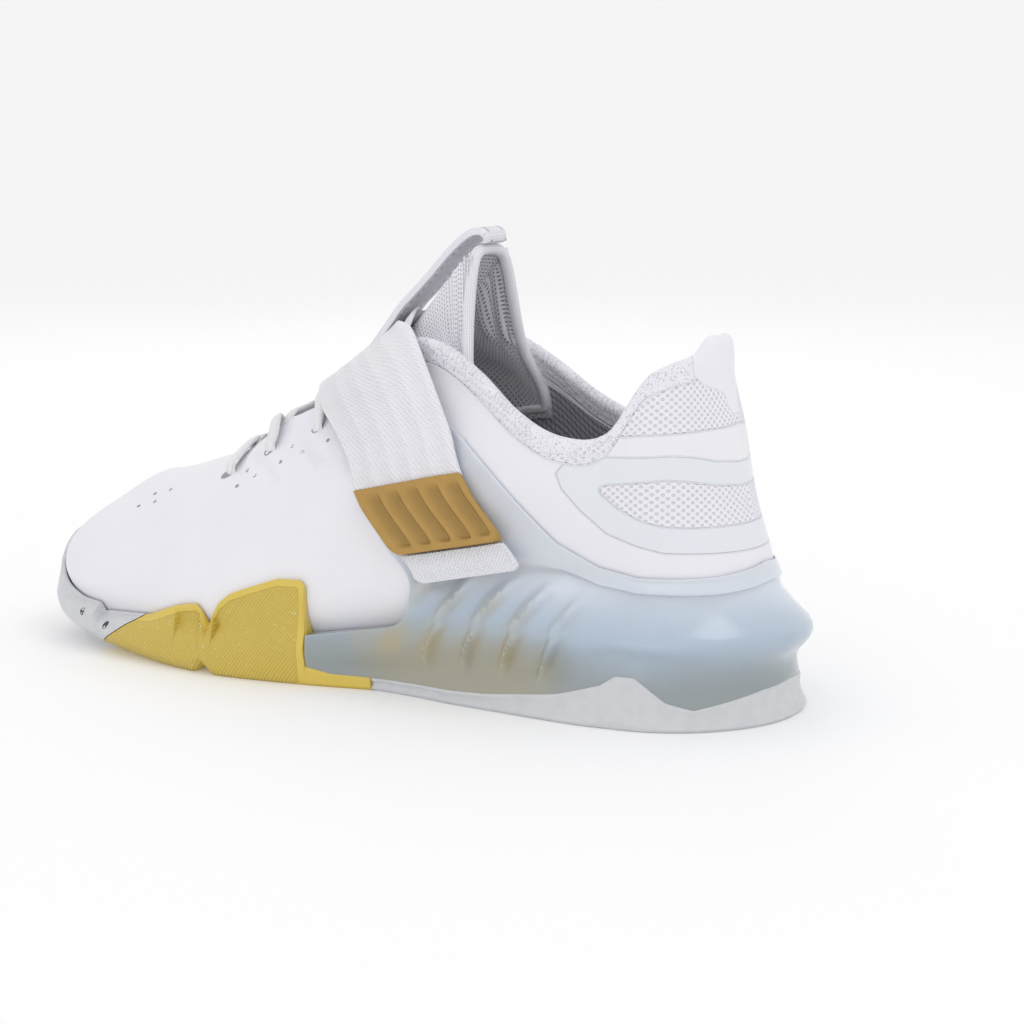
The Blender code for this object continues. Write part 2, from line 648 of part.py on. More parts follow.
def front_mesh(build, keep):
    # The tread's front in one, cut by the leaning joint. keep: -1 for the part behind it, 1 for the bumper
    start = TREAD_SPLIT + JOINT
    under = [start, 8.5, 8.95, 9.25, WAIST_END - JOINT]
    lobes = steps((WAIST_END, 9.6, 2), (9.6, 10.8, 4), (10.8, 11.7, 9), (11.7, 14, 5))
    plain = steps((WAIST_END, 10.8, 3), (10.8, 11.7, 5), (11.7, 14, 4))
    fan = steps((14, 16, 10))[1:]
    lateral, medial = under + lobes + fan, under + plain + fan[:-1]
    rays = [(LATERAL, k) for k in lateral] + [(MEDIAL, k) for k in medial[::-1]]
    ring_solid(build, rays, front_ray, capped=True)
    bmesh.ops.remove_doubles(build, verts=build.verts, dist=1e-6)
    bmesh.ops.dissolve_degenerate(build, edges=build.edges, dist=1e-7)
    bmesh.ops.triangulate(build, faces=build.faces)
    lean = math.radians(SEAM_LEAN)
    across = Vector((math.cos(lean), 0, math.sin(lean)))
    cut = bmesh.ops.bisect_plane(
        build,
        geom=[*build.verts, *build.edges, *build.faces],
        dist=1e-7,
        plane_co=Vector((spine(SEAM_ALONG)[0], 0, SEAM_UP * WING_HEIGHT)) + across * keep * GAP / 2,
        plane_no=across,
        clear_outer=keep < 0,
        clear_inner=keep > 0,
    )
    edges = [item for item in cut["geom_cut"] if isinstance(item, bmesh.types.BMEdge)]
    bmesh.ops.edgeloop_fill(build, edges=edges)


# Insole
def insole_ray(side, k):
    reach = profile(side, k)[0][0][0] - WALL - 2 * GAP
    low = floor_points(side, k, reach, 2, footbed)
    return low + floor_points(side, k, reach, 2, lambda x: footbed(x) + INSOLE_THICKNESS)[::-1]


def insole_mesh(build):
    places = steps((0, 2, 5), (2, 14, 14), (14, 16, 5))
    rays = [(LATERAL, k) for k in places] + [(MEDIAL, k) for k in places[::-1][1:-1]]
    ring_solid(build, rays, insole_ray, capped=False)


# Tongue
# along: share of the way from heel centre to toe centre of the middle. up: the middle's height as a share of
# COLLAR_HEIGHT. half: half width as a share of HEEL_HALF_WIDTH. back, down: how far the edge lies behind and
# below the middle, as shares of HEEL_HALF_WIDTH.
TONGUE = [
    # along, up, half, back, down
    (0.905, 0.525, 0.34, 0.00, 0.10),
    (0.850, 0.565, 0.44, 0.02, 0.14),
    (0.790, 0.630, 0.50, 0.06, 0.22),
    (0.710, 0.730, 0.54, 0.14, 0.32),
    (0.620, 0.850, 0.57, 0.28, 0.42),
    (0.520, 0.985, 0.59, 0.52, 0.44),
    (0.470, 1.070, 0.60, 0.70, 0.32),
    (0.425, 1.160, 0.59, 0.56, 0.22),
    (0.390, 1.225, 0.52, 0.34, 0.13),
    (0.368, 1.255, 0.40, 0.16, 0.07),
    (0.350, 1.275, 0.22, 0.05, 0.03),
]
TONGUE_HALF_POINTS = 5
TONGUE_ROWS = 17


def inner_height(side, x, reach):
    # Height of the upper's inner face at this place, or a great height inside the opening
    k = place_along(x / TOE_CENTRE_X)
    chain, closed = profile(side, k)
    thick = WALL + TONGUE_CLEAR + swells(k, lengths(chain))
    face = pushed(chain, -thick, closed)[KNOT_STEPS * 2:][::-1]
    edge = thick[-1] - WALL / 2
    if reach < face[0][0] - edge:
        return SOLE_LENGTH
    slope = (face[1] - face[0]) / (face[1][0] - face[0][0])
    if reach < face[0][0]:
        return float(face[0][1] + slope[1] * (reach - face[0][0]))
    return float(np.interp(reach, face[:, 0], face[:, 1]))


def tongue_top(row, share):
    along, up, half, back, down = row
    x, y = spine(along)
    side = LATERAL if share >= 0 else MEDIAL
    reach = half * HEEL_HALF_WIDTH * abs(share)
    x -= back * HEEL_HALF_WIDTH * share**2
    z = up * COLLAR_HEIGHT - down * HEEL_HALF_WIDTH * share**2
    return x, y + side * reach, min(z, inner_height(side, x, reach))


def tongue_mesh(build):
    shares = np.linspace(-1, 1, 2 * TONGUE_HALF_POINTS + 1)
    ways = np.linspace(0, 1, TONGUE_ROWS)
    rows = [curve_at(TONGUE, way * (len(TONGUE) - 1)) for way in ways]
    top = np.array([[tongue_top(row, share) for share in shares] for row in rows])
    out = np.cross(np.gradient(top, axis=1), np.gradient(top, axis=0))
    out /= np.linalg.norm(out, axis=2)[..., None]
    out *= np.sign(out[..., 2:].mean())
    thin_top = np.array([1 - 0.85 * smooth((way - 0.6) / 0.4) for way in ways])
    thick = TONGUE_THICKNESS * thin_top[:, None] * (1 - 0.6 * np.abs(shares) ** 4)
    below = top - out * thick[..., None]
    loop_solid(build, [[*high, *low[::-1]] for high, low in zip(top, below)])


# What lies over the instep
TONGUE_CURVE = np.array([curve_at(TONGUE, at) for at in np.linspace(len(TONGUE) - 1, 0, 81)])


def tongue_height(x, reach):
    # Height of the tongue's face at this place; its sides lie further back than its middle
    along = x / TOE_CENTRE_X
    for _ in range(12):
        up, half, back, down = (np.interp(along, TONGUE_CURVE[:, 0], TONGUE_CURVE[:, i]) for i in range(1, 5))
        share = reach / (half * HEEL_HALF_WIDTH)
        along = (x + back * HEEL_HALF_WIDTH * share**2) / TOE_CENTRE_X
    return up * COLLAR_HEIGHT - down * HEEL_HALF_WIDTH * share**2


@lru_cache(maxsize=None)
def outside(side, k):
    # The shoe's outside in a ray, from the upper's edge down to the sole's ledge
    chain, closed = profile(side, k)
    thick = swells(k, lengths(chain))
    chain = pushed(chain, thick, closed)
    if not closed:
        out = normals(chain)[-1]
        half = WALL / 2 + thick[-1]
        along = np.array([-out[1], out[0]])
        chain = np.array([*chain, chain[-1] + (0.8 * along - 0.3 * out) * half])
    if k >= WING_END:
        return chain[::-1]
    wing = midsole_side(side, k)[2:][::-1]
    return [*(p for p in chain[::-1] if p[1] > wing[0][1]), *wing]


def over_instep(x, angle, clear):
    # The point in the section at x, at this angle from straight up, that lies clear outside upper and tongue
    side = LATERAL if angle >= 0 else MEDIAL
    low = INSTEP_AXIS_UP * COLLAR_HEIGHT
    y = spine(x / TOE_CENTRE_X)[1]
    face = outside(side, place_along(x / TOE_CENTRE_X))
    middle = []
    if face[0][0] > LACE_WIDTH:
        middle = [(r, tongue_height(x, r)) for r in np.linspace(0, 0.9 * face[0][0], 6)]
    points = [(r, z - low) for r, z in [*middle, *face]]
    hull = []
    for point in points:
        while len(hull) > 1 and turns_in(hull[-2], hull[-1], point):
            hull.pop()
        hull.append(point)
    turn = [math.atan2(r, z) for r, z in hull]
    here = math.radians(abs(angle))
    i = max(0, min(len(hull) - 2, int(np.searchsorted(turn, here)) - 1))
    (r0, z0), (r1, z1) = hull[i], hull[i + 1]
    across = (math.sin(here), math.cos(here))
    cross = (r1 - r0) * across[1] - (z1 - z0) * across[0]
    radius = ((r1 - r0) * z0 - (z1 - z0) * r0) / cross if abs(cross) > 1e-12 else math.hypot(r0, z0)
    radius += clear
    return x, y + side * radius * across[0], low + radius * across[1]


def turns_in(a, b, c):
    # True where the middle point lies inside the straight line past it
    return (b[0] - a[0]) * (c[1] - a[1]) - (b[1] - a[1]) * (c[0] - a[0]) >= 0


# The strap's middle line. angle: degrees from straight up, lateral is positive. along: share of the way from
# heel centre to toe centre. lean: how far the strap's width turns down from level, in degrees.
STRAP = [
    # angle, along, lean
    (-72, 0.33, 8),
    (-53, 0.385, 12),
    (-41, 0.415, 16),
    (-30, 0.455, 20),
    (-15, 0.545, 36),
    (0, 0.590, 42),
    (15, 0.545, 36),
    (30, 0.462, 20),
    (41, 0.412, 16),
    (53, 0.383, 14),
    (75, 0.300, 13),
    (86, 0.262, 13),
]
STRAP_FROM, STRAP_TO, END_TO, TIP_TO = -72, 52, 75, 86
STRAP_JOINT = 0.5  # degrees between the strap, its end and its tip
LACE_CLEAR = 5 * GAP + LACE_LIFT + LACE_THICKNESS


def strap_clear(angle):
    return between(LACE_CLEAR, 2 * GAP, smooth((abs(angle) - 34) / 14))


def strap_point(angle, share, out):
    # share: -1 at the strap's rear edge and 1 at its front edge. out: distance above its underside
    angles = [row[0] for row in STRAP]
    at = float(np.interp(angle, angles, range(len(STRAP))))
    _, along, lean = curve_at(STRAP, at)
    lean = math.radians(lean)
    half = share * STRAP_WIDTH / 2
    x = spine(along)[0] + half * math.cos(lean)
    radius = 0.4 * COLLAR_HEIGHT
    tilt = math.degrees(half * math.sin(lean) / radius) * abs(math.sin(math.radians(angle)))
    turned = angle + (tilt if angle > 0 else -tilt)
    centre = (spine(x / TOE_CENTRE_X)[1], INSTEP_AXIS_UP * COLLAR_HEIGHT)
    places = (x - STRAP_STIFFNESS, x, x + STRAP_STIFFNESS)
    near = [math.dist(over_instep(at_x, turned, 0)[1:], centre) for at_x in places]
    rise = (max(near) - near[1]) * smooth((abs(angle) - 34) / 14)
    return over_instep(x, turned, strap_clear(angle) + rise + out)


def band_mesh(build, angles, shares, thickness):
    # thickness: a function of (share of the way along, share across) or one length
    loops = []
    for angle in angles:
        way = (angle - angles[0]) / (angles[-1] - angles[0])
        low = [strap_point(angle, share, 0.0) for share in shares]
        high = [strap_point(angle, share, thickness(way, share)) for share in shares[::-1]]
        loops.append(low + high)
    loop_solid(build, loops)


def strap_mesh(build):
    angles = [STRAP_FROM, -60, -50, -41, -34, -28, -22, -15, -7, 0, 7, 15, 22, 28, 34, 41, 47, STRAP_TO]
    band_mesh(build, angles, np.linspace(-1, 1, 5), lambda way, share: STRAP_THICKNESS)


def end_thickness(way, share):
    # Moulded channels along the strap's end, inside a plain border
    border = smooth((0.94 - abs(share)) / 0.08) * smooth(way / 0.14) * smooth((1 - way) / 0.14)
    channel = 0.5 - 0.5 * math.cos(math.pi * (share / 0.88 + 1) * CHANNELS)
    return STRAP_END_THICKNESS - CHANNEL_DEPTH * border * channel


def strap_end_mesh(build):
    angles = [STRAP_TO + STRAP_JOINT, *np.linspace(STRAP_TO + 3, END_TO - 3, 5), END_TO]
    shares = np.linspace(-1, 1, 4 * CHANNELS + 5)
    band_mesh(build, angles, shares, end_thickness)


def strap_tip_mesh(build):
    angles = np.linspace(END_TO + STRAP_JOINT, TIP_TO, 3)
    band_mesh(build, angles, np.linspace(-0.96, 0.94, 4), lambda way, share: STRAP_TIP_THICKNESS)


def strap_ring_mesh(build):
    # An oval ring on the inner side, against the upper behind the strap
    x = strap_point(RING_ANGLE, -1, 0.0)[0] - RING_BEHIND - RING_LENGTH / 2
    centre = Vector(over_instep(x, RING_ANGLE, 0))
    ahead = Vector(over_instep(x + RING_LENGTH / 2, RING_ANGLE, 0))
    above = Vector(over_instep(x, RING_ANGLE + 4, 0))
    along = (ahead - centre).normalized()
    up = (above - centre).normalized()
    out = along.cross(up).normalized()
    if out.y > 0:
        out = -out
    up = out.cross(along).normalized()
    middle = centre + out * (RING_WIRE / 2 + 2 * GAP)
    round_steps, wire_steps = 16, 6
    rows = []
    for i in range(round_steps):
        turn = 2 * math.pi * i / round_steps
        arm = along * math.cos(turn) * (RING_LENGTH - RING_WIRE) / 2
        arm += up * math.sin(turn) * (RING_WIDTH - RING_WIRE) / 2
        row = []
        for j in range(wire_steps):
            wire = 2 * math.pi * j / wire_steps
            around = arm.normalized() * math.cos(wire) + out * math.sin(wire)
            row.append(build.verts.new(middle + arm + around * RING_WIRE / 2))
        rows.append(row)
    for first, second in zip(rows, rows[1:] + rows[:1]):
        strip(build, first + first[:1], second + second[:1])


# Laces: crossings from each row of eyelets to the next. along, angle from straight up in degrees
EYELETS = [(0.795, 17), (0.705, 20), (0.610, 23), (0.520, 24), (0.445, 25)]


def lace_band(build, start, end, lift):
    (along_0, angle_0), (along_1, angle_1) = start, end
    loops = []
    for share in (0, 0.1, 0.2, 0.35, 0.45, 0.55, 0.65, 0.8, 0.9, 1):
        angle = between(angle_0, angle_1, share)
        x = spine(between(along_0, along_1, share))[0]
        over = lift * math.sin(math.pi * share) ** 2
        low, high = 3 * GAP + over, 3 * GAP + over + LACE_THICKNESS
        half = LACE_WIDTH / 2
        corners = [(-half, low), (half, low), (0.8 * half, high), (-0.8 * half, high)]
        loops.append([over_instep(x + dx, angle, out) for dx, out in corners])
    loop_solid(build, loops)


def make_laces(finish):
    (first_along, first_angle), *_ = EYELETS
    runs = [((first_along, first_angle), (first_along, -first_angle), 0.0)]
    for (a0, t0), (a1, t1) in zip(EYELETS, EYELETS[1:]):
        runs.append(((a0, t0), (a1, -t1), 0.0))
        runs.append(((a1, t1), (a0, -t0), LACE_LIFT))
    laces = make_object("laces", lambda build: lace_band(build, *runs[0]), finish)
    for i, run in enumerate(runs[1:], 1):
        other = make_object(f"lace_run_{i}", lambda build, run=run: lace_band(build, *run), finish)
        other.hide_render = True
        other.display_type = "WIRE"
        joined = laces.modifiers.new(f"run {i}", "BOOLEAN")
        joined.operation = "UNION"
        joined.object = other


# Pull tab: a webbing loop on the tongue's face. along, up: shares as in TONGUE, of the loop's middle line
PULL_TAB = [(0.492, 1.090), (0.470, 1.128), (0.438, 1.185), (0.400, 1.256), (0.367, 1.304), (0.347, 1.312),
            (0.341, 1.286)]


def pull_tab_mesh(build):
    middle = [(spine(along)[0], up * COLLAR_HEIGHT) for along, up in PULL_TAB]
    line = np.array([curve_at(middle, at) for at in np.linspace(0, len(middle) - 1, 13)])
    out = normals(line)
    if out[0][0] < 0:
        out = -out
    y = spine(0.45)[1]
    loops = []
    for (x, z), (nx, nz), share in zip(line, out, np.linspace(0, 1, len(line))):
        half = PULL_TAB_WIDTH / 2 * (1 - 0.25 * smooth((share - 0.8) / 0.2))
        x_out, z_out = x + nx * PULL_TAB_THICKNESS, z + nz * PULL_TAB_THICKNESS
        loops.append([(x, y - half, z), (x, y + half, z), (x_out, y + half, z_out), (x_out, y - half, z_out)])
    loop_solid(build, loops)


# Materials
WHITE = material("white synthetic upper", (0.83, 0.84, 0.86), 0.5)
MESH = material("white mesh textile", (0.8, 0.81, 0.83), 0.85)
WEBBING = material("white webbing", (0.86, 0.86, 0.88), 0.7)
ICE = material("clear ice-blue TPU", (0.56, 0.65, 0.72), 0.3, transmission=0.2)
GREY_RUBBER = material("pale grey rubber", (0.56, 0.6, 0.58), 0.55)
MUSTARD_RUBBER = material("mustard rubber", (0.61, 0.48, 0.09), 0.5)
GOLD = material("gold moulded plastic", (0.48, 0.3, 0.08), 0.35, metallic=0.5)
FOAM = material("grey insole foam", (0.5, 0.5, 0.52), 0.9)


def build_shoe():
    for old in list(bpy.data.objects):
        bpy.data.objects.remove(old, do_unlink=True)
    make_object("upper", upper_mesh, WHITE)
    make_object("insole", insole_mesh, FOAM)
    make_midsole(ICE)
    make_object("outsole_heel", heel_tread_mesh, GREY_RUBBER)
    make_object("outsole_forefoot", lambda build: front_mesh(build, -1), MUSTARD_RUBBER)
    make_object("outsole_toe", lambda build: front_mesh(build, 1), GREY_RUBBER)
    make_object("tongue", tongue_mesh, MESH)
    make_object("tongue_pull_tab", pull_tab_mesh, WEBBING)
    make_laces(WEBBING)
    make_object("strap", strap_mesh, WEBBING)
    make_object("strap_end", strap_end_mesh, GOLD)
    make_object("strap_tip", strap_tip_mesh, WEBBING)
    make_object("strap_ring", strap_ring_mesh, GOLD)


build_shoe()
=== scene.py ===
# The looks of a left weightlifting shoe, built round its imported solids. Each form is worked out again from
# the same sizes, tables and functions as the solids, with more points, and gets its material here.
# The toe points along +X, the outer (lateral) side is +Y and up is +Z. Sizes are in metres.

import math
from functools import lru_cache

import bmesh
import bpy
import numpy as np
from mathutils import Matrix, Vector
from mathutils.bvhtree import BVHTree


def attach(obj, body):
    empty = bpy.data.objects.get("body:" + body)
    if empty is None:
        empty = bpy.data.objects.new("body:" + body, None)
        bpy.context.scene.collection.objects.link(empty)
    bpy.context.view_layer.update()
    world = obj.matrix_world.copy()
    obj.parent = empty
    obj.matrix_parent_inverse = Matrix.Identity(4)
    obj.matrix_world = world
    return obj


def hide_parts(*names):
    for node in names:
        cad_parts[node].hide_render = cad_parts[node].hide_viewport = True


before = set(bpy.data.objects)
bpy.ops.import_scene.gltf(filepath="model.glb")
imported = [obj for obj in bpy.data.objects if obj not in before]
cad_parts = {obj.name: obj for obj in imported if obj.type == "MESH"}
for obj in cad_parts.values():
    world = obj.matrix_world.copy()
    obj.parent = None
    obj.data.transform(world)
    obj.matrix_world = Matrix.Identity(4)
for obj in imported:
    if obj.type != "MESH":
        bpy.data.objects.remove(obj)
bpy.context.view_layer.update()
print("solids loaded")

mm = 0.001

# Sole
soleLength = 295 * mm
heelBackReach = 43 * mm  # heel centre to the back of the sole
toeFrontReach = 43 * mm  # toe centre to the tip of the sole
heelHalfWidth = 46 * mm
ballHalfWidth = 55 * mm
toeInswing = 4 * mm  # how far the toe turns to the inner side
heelStack = 31 * mm  # floor to the bottom of the upper, under the heel
forefootStack = 11 * mm
toeSpring = 7 * mm  # rise of the footbed from the ball to the tip
toeLift = 12 * mm  # rise of the tread from the ball to the tip
treadThickness = 2.6 * mm
treadBevel = 1.2 * mm
lipWidth = 3.0 * mm  # of the tread's raised edge
cupWall = 1.5 * mm  # of the sole where it wraps up round the upper
wingHeight = 36 * mm  # floor to the top of the forefoot tread's outer wing
bumperHeight = 38 * mm  # floor to the top of the toe bumper
grooveDepth = 3.5 * mm
grooveWidth = 9 * mm
ribDepth = 1.5 * mm
ribPitch = 13 * mm
ribSlant = 0.55
flareHeight = 26 * mm  # over which the sole's side runs in to the upper, at most
flareLeast = 12 * mm

# Upper
collarHeight = 115 * mm  # floor to the collar's top
wall = 2.2 * mm
collarBead = 5.6 * mm
gap = 0.35 * mm  # between neighbouring pieces
cupClear = 0.6 * mm  # between the upper and the cup round it

# Insole, tongue, laces and strap
insoleThickness = 4.5 * mm
tongueThickness = 5.0 * mm
tongueClear = 1.5 * mm  # between the tongue and the upper
pullTabWidth = 15 * mm
pullTabThickness = 2.4 * mm
laceWidth = 5.5 * mm
laceThickness = 1.8 * mm
laceLift = 1.6 * mm  # of a crossing over the one under it
strapWidth = 42 * mm
strapThickness = 2.0 * mm
strapEndThickness = 3.2 * mm
strapTipThickness = 1.6 * mm
strapStiffness = 5 * mm  # half the width of a step that the strap bridges
channelDepth = 1.2 * mm
channels = 4
ringLength = 13 * mm
ringWidth = 9 * mm
ringWire = 2.4 * mm
ringBehind = 6.2 * mm  # from the strap's rear edge to the ring
ringAngle = -34  # degrees from straight up
instepAxisUp = 0.35  # height of the line that the strap and laces go round, as a share of collarHeight

toeCentreX = soleLength - heelBackReach - toeFrontReach
lateral, medial = 1, -1

# One row for each section, from the heel's back along a side to the toe's tip.
# along: share of the way from heel centre to toe centre. turn: the ray's direction in degrees, 180 is back.
# rim: height of the upper's edge as a share of collarHeight.
# bellyUp, flankUp, shoulderUp: heights as shares of the way from the upper's bottom to its edge.
sections = [
    # along, turn, rim, bellyUp, flankUp, shoulderUp
    (0.00, 180, 1.010, 0.19, 0.45, 0.73),
    (0.00, 135, 0.990, 0.19, 0.45, 0.74),
    (0.00, 90, 0.940, 0.21, 0.50, 0.78),
    (0.06, 90, 0.775, 0.27, 0.48, 0.75),
    (0.13, 90, 0.755, 0.27, 0.50, 0.77),
    (0.21, 90, 0.810, 0.24, 0.49, 0.77),
    (0.30, 90, 0.925, 0.21, 0.43, 0.75),
    (0.37, 90, 0.990, 0.18, 0.41, 0.74),
    (0.44, 90, 0.990, 0.18, 0.40, 0.73),
    (0.52, 90, 0.880, 0.19, 0.42, 0.75),
    (0.62, 90, 0.800, 0.19, 0.42, 0.76),
    (0.72, 90, 0.720, 0.20, 0.42, 0.76),
    (0.81, 90, 0.625, 0.22, 0.45, 0.80),
    (0.88, 90, 0.585, 0.23, 0.46, 0.81),
    (1.00, 90, 0.526, 0.24, 0.48, 0.76),
    (1.00, 45, 0.526, 0.24, 0.46, 0.71),
    (1.00, 0, 0.526, 0.26, 0.46, 0.70),
]
# Reach of the upper's outer face, as shares of the sole's half width there.
upperLateral = [
    # bottom, belly, flank, shoulder, edge
    (0.65, 0.69, 0.56, 0.46, 0.32),
    (0.64, 0.69, 0.57, 0.48, 0.35),
    (0.62, 0.68, 0.68, 0.64, 0.52),
    (0.62, 0.70, 0.71, 0.70, 0.62),
    (0.63, 0.73, 0.74, 0.73, 0.67),
    (0.64, 0.75, 0.75, 0.71, 0.63),
    (0.65, 0.77, 0.76, 0.68, 0.54),
    (0.68, 0.80, 0.78, 0.66, 0.48),
    (0.71, 0.84, 0.79, 0.62, 0.41),
    (0.77, 0.89, 0.82, 0.61, 0.35),
    (0.82, 0.95, 0.86, 0.59, 0.31),
    (0.86, 0.97, 0.87, 0.56, 0.25),
    (0.87, 0.96, 0.85, 0.53, 0.16),
    (0.85, 0.93, 0.81, 0.49, 0.00),
    (0.78, 0.85, 0.75, 0.44, 0.00),
    (0.80, 0.88, 0.80, 0.50, 0.00),
    (0.83, 0.92, 0.87, 0.58, 0.00),
]
upperMedial = [
    (0.65, 0.69, 0.56, 0.46, 0.32),
    (0.64, 0.69, 0.57, 0.48, 0.35),
    (0.60, 0.66, 0.66, 0.63, 0.52),
    (0.60, 0.68, 0.70, 0.69, 0.62),
    (0.59, 0.69, 0.72, 0.71, 0.66),
    (0.57, 0.69, 0.72, 0.69, 0.62),
    (0.54, 0.67, 0.71, 0.66, 0.54),
    (0.53, 0.66, 0.70, 0.62, 0.47),
    (0.54, 0.68, 0.69, 0.58, 0.40),
    (0.59, 0.74, 0.71, 0.56, 0.34),
    (0.69, 0.81, 0.75, 0.54, 0.29),
    (0.76, 0.87, 0.77, 0.51, 0.23),
    (0.78, 0.88, 0.77, 0.48, 0.14),
    (0.78, 0.86, 0.73, 0.46, 0.00),
    (0.74, 0.80, 0.69, 0.42, 0.00),
    (0.78, 0.86, 0.78, 0.50, 0.00),
    (0.83, 0.92, 0.87, 0.58, 0.00),
]
# Reach of the sole's side, as shares of its half width, and heights as shares of the stack.
soleLateral = [
    # ground, lip, waist, ledge, waistUp, ledgeUp
    (0.97, 0.92, 0.90, 1.05, 0.60, 0.93),
    (0.94, 0.90, 0.88, 1.00, 0.60, 0.93),
    (0.97, 0.95, 0.92, 0.98, 0.76, 0.95),
    (1.00, 0.97, 0.92, 0.97, 0.66, 0.95),
    (0.99, 0.97, 0.91, 0.95, 0.56, 0.97),
    (0.96, 0.95, 0.90, 0.94, 0.52, 1.00),
    (0.92, 0.92, 0.88, 0.93, 0.50, 1.00),
    (0.87, 0.87, 0.85, 0.91, 0.50, 1.00),
    (0.85, 0.85, 0.84, 0.90, 0.50, 0.95),
    (0.92, 0.93, 0.93, 0.95, 0.60, 1.00),
    (0.99, 1.01, 1.02, 1.02, 0.70, 1.10),
    (1.03, 1.05, 1.05, 1.04, 0.70, 1.10),
    (1.00, 1.03, 1.03, 1.02, 0.70, 1.10),
    (0.95, 0.99, 1.00, 0.99, 0.70, 1.10),
    (0.87, 0.91, 0.92, 0.92, 0.70, 1.10),
    (0.88, 0.93, 0.95, 0.95, 0.70, 1.10),
    (0.94, 0.99, 1.01, 1.01, 0.70, 1.10),
]
soleMedial = [
    (0.97, 0.92, 0.90, 1.05, 0.60, 0.93),
    (0.94, 0.90, 0.88, 1.00, 0.60, 0.93),
    (0.95, 0.93, 0.90, 0.96, 0.76, 0.95),
    (0.96, 0.93, 0.88, 0.93, 0.66, 0.95),
    (0.92, 0.90, 0.85, 0.90, 0.56, 0.97),
    (0.86, 0.85, 0.80, 0.86, 0.52, 1.00),
    (0.78, 0.78, 0.75, 0.82, 0.50, 1.00),
    (0.71, 0.71, 0.71, 0.78, 0.50, 1.00),
    (0.69, 0.69, 0.70, 0.76, 0.50, 0.95),
    (0.75, 0.76, 0.77, 0.80, 0.60, 1.00),
    (0.85, 0.87, 0.88, 0.88, 0.70, 1.10),
    (0.92, 0.94, 0.95, 0.94, 0.70, 1.10),
    (0.92, 0.95, 0.95, 0.95, 0.70, 1.10),
    (0.89, 0.92, 0.93, 0.92, 0.70, 1.10),
    (0.82, 0.86, 0.87, 0.87, 0.70, 1.10),
    (0.86, 0.91, 0.93, 0.93, 0.70, 1.10),
    (0.94, 0.99, 1.01, 1.01, 0.70, 1.10),
]
last = len(sections) - 1
toeFan = 14  # place where the rays start to fan out round the toe
collarEnd = 8.0  # place where the padded collar ends and the throat starts
treadSplit = 8.12  # place of the joint between heel tread and forefoot tread
waistEnd = 9.4  # place of the joint between midsole and forefoot tread
joint = 0.02  # gap between pieces along the shoe, in places

# Top edge of the tread's lip under the midsole: place, share of heelStack
lipRows = [(0, 0.37), (0.5, 0.34), (0.9, 0.27), (1.28, 0.20), (1.55, 0.28), (1.85, 0.53), (2.1, 0.53),
       (2.5, 0.42), (3.1, 0.34), (3.6, 0.27), (4, 0.24), (4.6, 0.20), (5.3, 0.15), (6, 0.13), (7, 0.125),
       (7.6, 0.12), (8.12, 0.12), (8.95, 0.14), (9.4, 0.20)]
# Top edge of the midsole's cup: place, share of collarHeight
cupLateral = [(0, 0.43), (1, 0.41), (2, 0.405), (3, 0.425), (4, 0.485), (5, 0.605), (6, 0.75), (6.6, 0.81),
               (7.0, 0.83), (7.6, 0.82), (9.4, 0.70)]
cupMedial = [(0, 0.43), (1, 0.41), (2, 0.405), (3, 0.41), (4, 0.43), (5, 0.46), (6, 0.46), (7, 0.40),
              (8, 0.26), (9.4, 0.17)]
# Front edge of the midsole's outer wing, from the top down: along, share of collarHeight. The cup has
# nothing in front of it on that side.
wingEdge = [(0.43, 0.90), (0.46, 0.62), (0.467, 0.537), (0.424, 0.433), (0.387, 0.361), (0.379, 0.290),
             (0.384, 0.235), (0.411, 0.200), (0.478, 0.177), (0.560, 0.153)]
wingEnd = 8.3  # place of the wing's foremost point
# Top edge of the forefoot tread's lobes: place, share of wingHeight
lobesLateral = [(9.4, 0.94), (9.5, 0.99), (9.9, 0.98), (10.45, 0.87),
                 (10.8, 0.79), (11.0, 0.70), (11.25, 0.52), (11.33, 0.47), (11.42, 0.60), (11.53, 0.66),
                 (11.8, 0.64), (12.2, 0.59), (13, 0.47), (14, 0.40)]
lobesMedial = [(9.4, 0.46), (10, 0.55), (11, 0.56), (12, 0.52),
                (13, 0.46), (14, 0.40)]
# Top edge of the toe bumper: place, share of bumperHeight
bumper = [(14, 0.46), (14.33, 0.47), (14.67, 0.53), (15, 0.62), (15.3, 0.75), (15.6, 0.90), (16, 1.0)]
seamAlong = 0.947  # of the joint between forefoot tread and toe bumper
seamUp = 0.28  # share of wingHeight
seamLean = 60  # degrees from upright


def smooth(share):
    share = min(max(share, 0.0), 1.0)
    return share * share * (3 - 2 * share)


def between(a, b, share):
    return a + (b - a) * share


def curveAt(points, at):
    # The smooth curve through the points, at a place counted in points from the first
    points = np.asarray(points, float)
    start = int(min(max(math.floor(at), 0), len(points) - 2))
    t = at - start
    first, second = points[start], points[start + 1]
    before = points[start - 1] if start > 0 else 2 * first - second
    after = points[start + 2] if start + 2 < len(points) else 2 * second - first
    return 0.5 * (
        2 * first
        + (second - before) * t
        + (2 * before - 5 * first + 4 * second - after) * t * t
        + (3 * first - before - 3 * second + after) * t**3
    )


def runOn(own, other):
    # a side's rows with the other side's next rows at both ends, so that the sides run on smoothly
    return np.array([other[1], *own, other[-2]], float)


heightRows = runOn([row[2:] for row in sections], [row[2:] for row in sections])
upperRows = {lateral: runOn(upperLateral, upperMedial), medial: runOn(upperMedial, upperLateral)}
soleRows = {lateral: runOn(soleLateral, soleMedial), medial: runOn(soleMedial, soleLateral)}


def alongAt(k):
    return float(np.interp(k, range(last + 1), [row[0] for row in sections]))


def turnAt(k):
    return float(np.interp(k, range(last + 1), [row[1] for row in sections]))


def placeAlong(along):
    return float(np.interp(along, [row[0] for row in sections[2:15]], range(2, 15)))


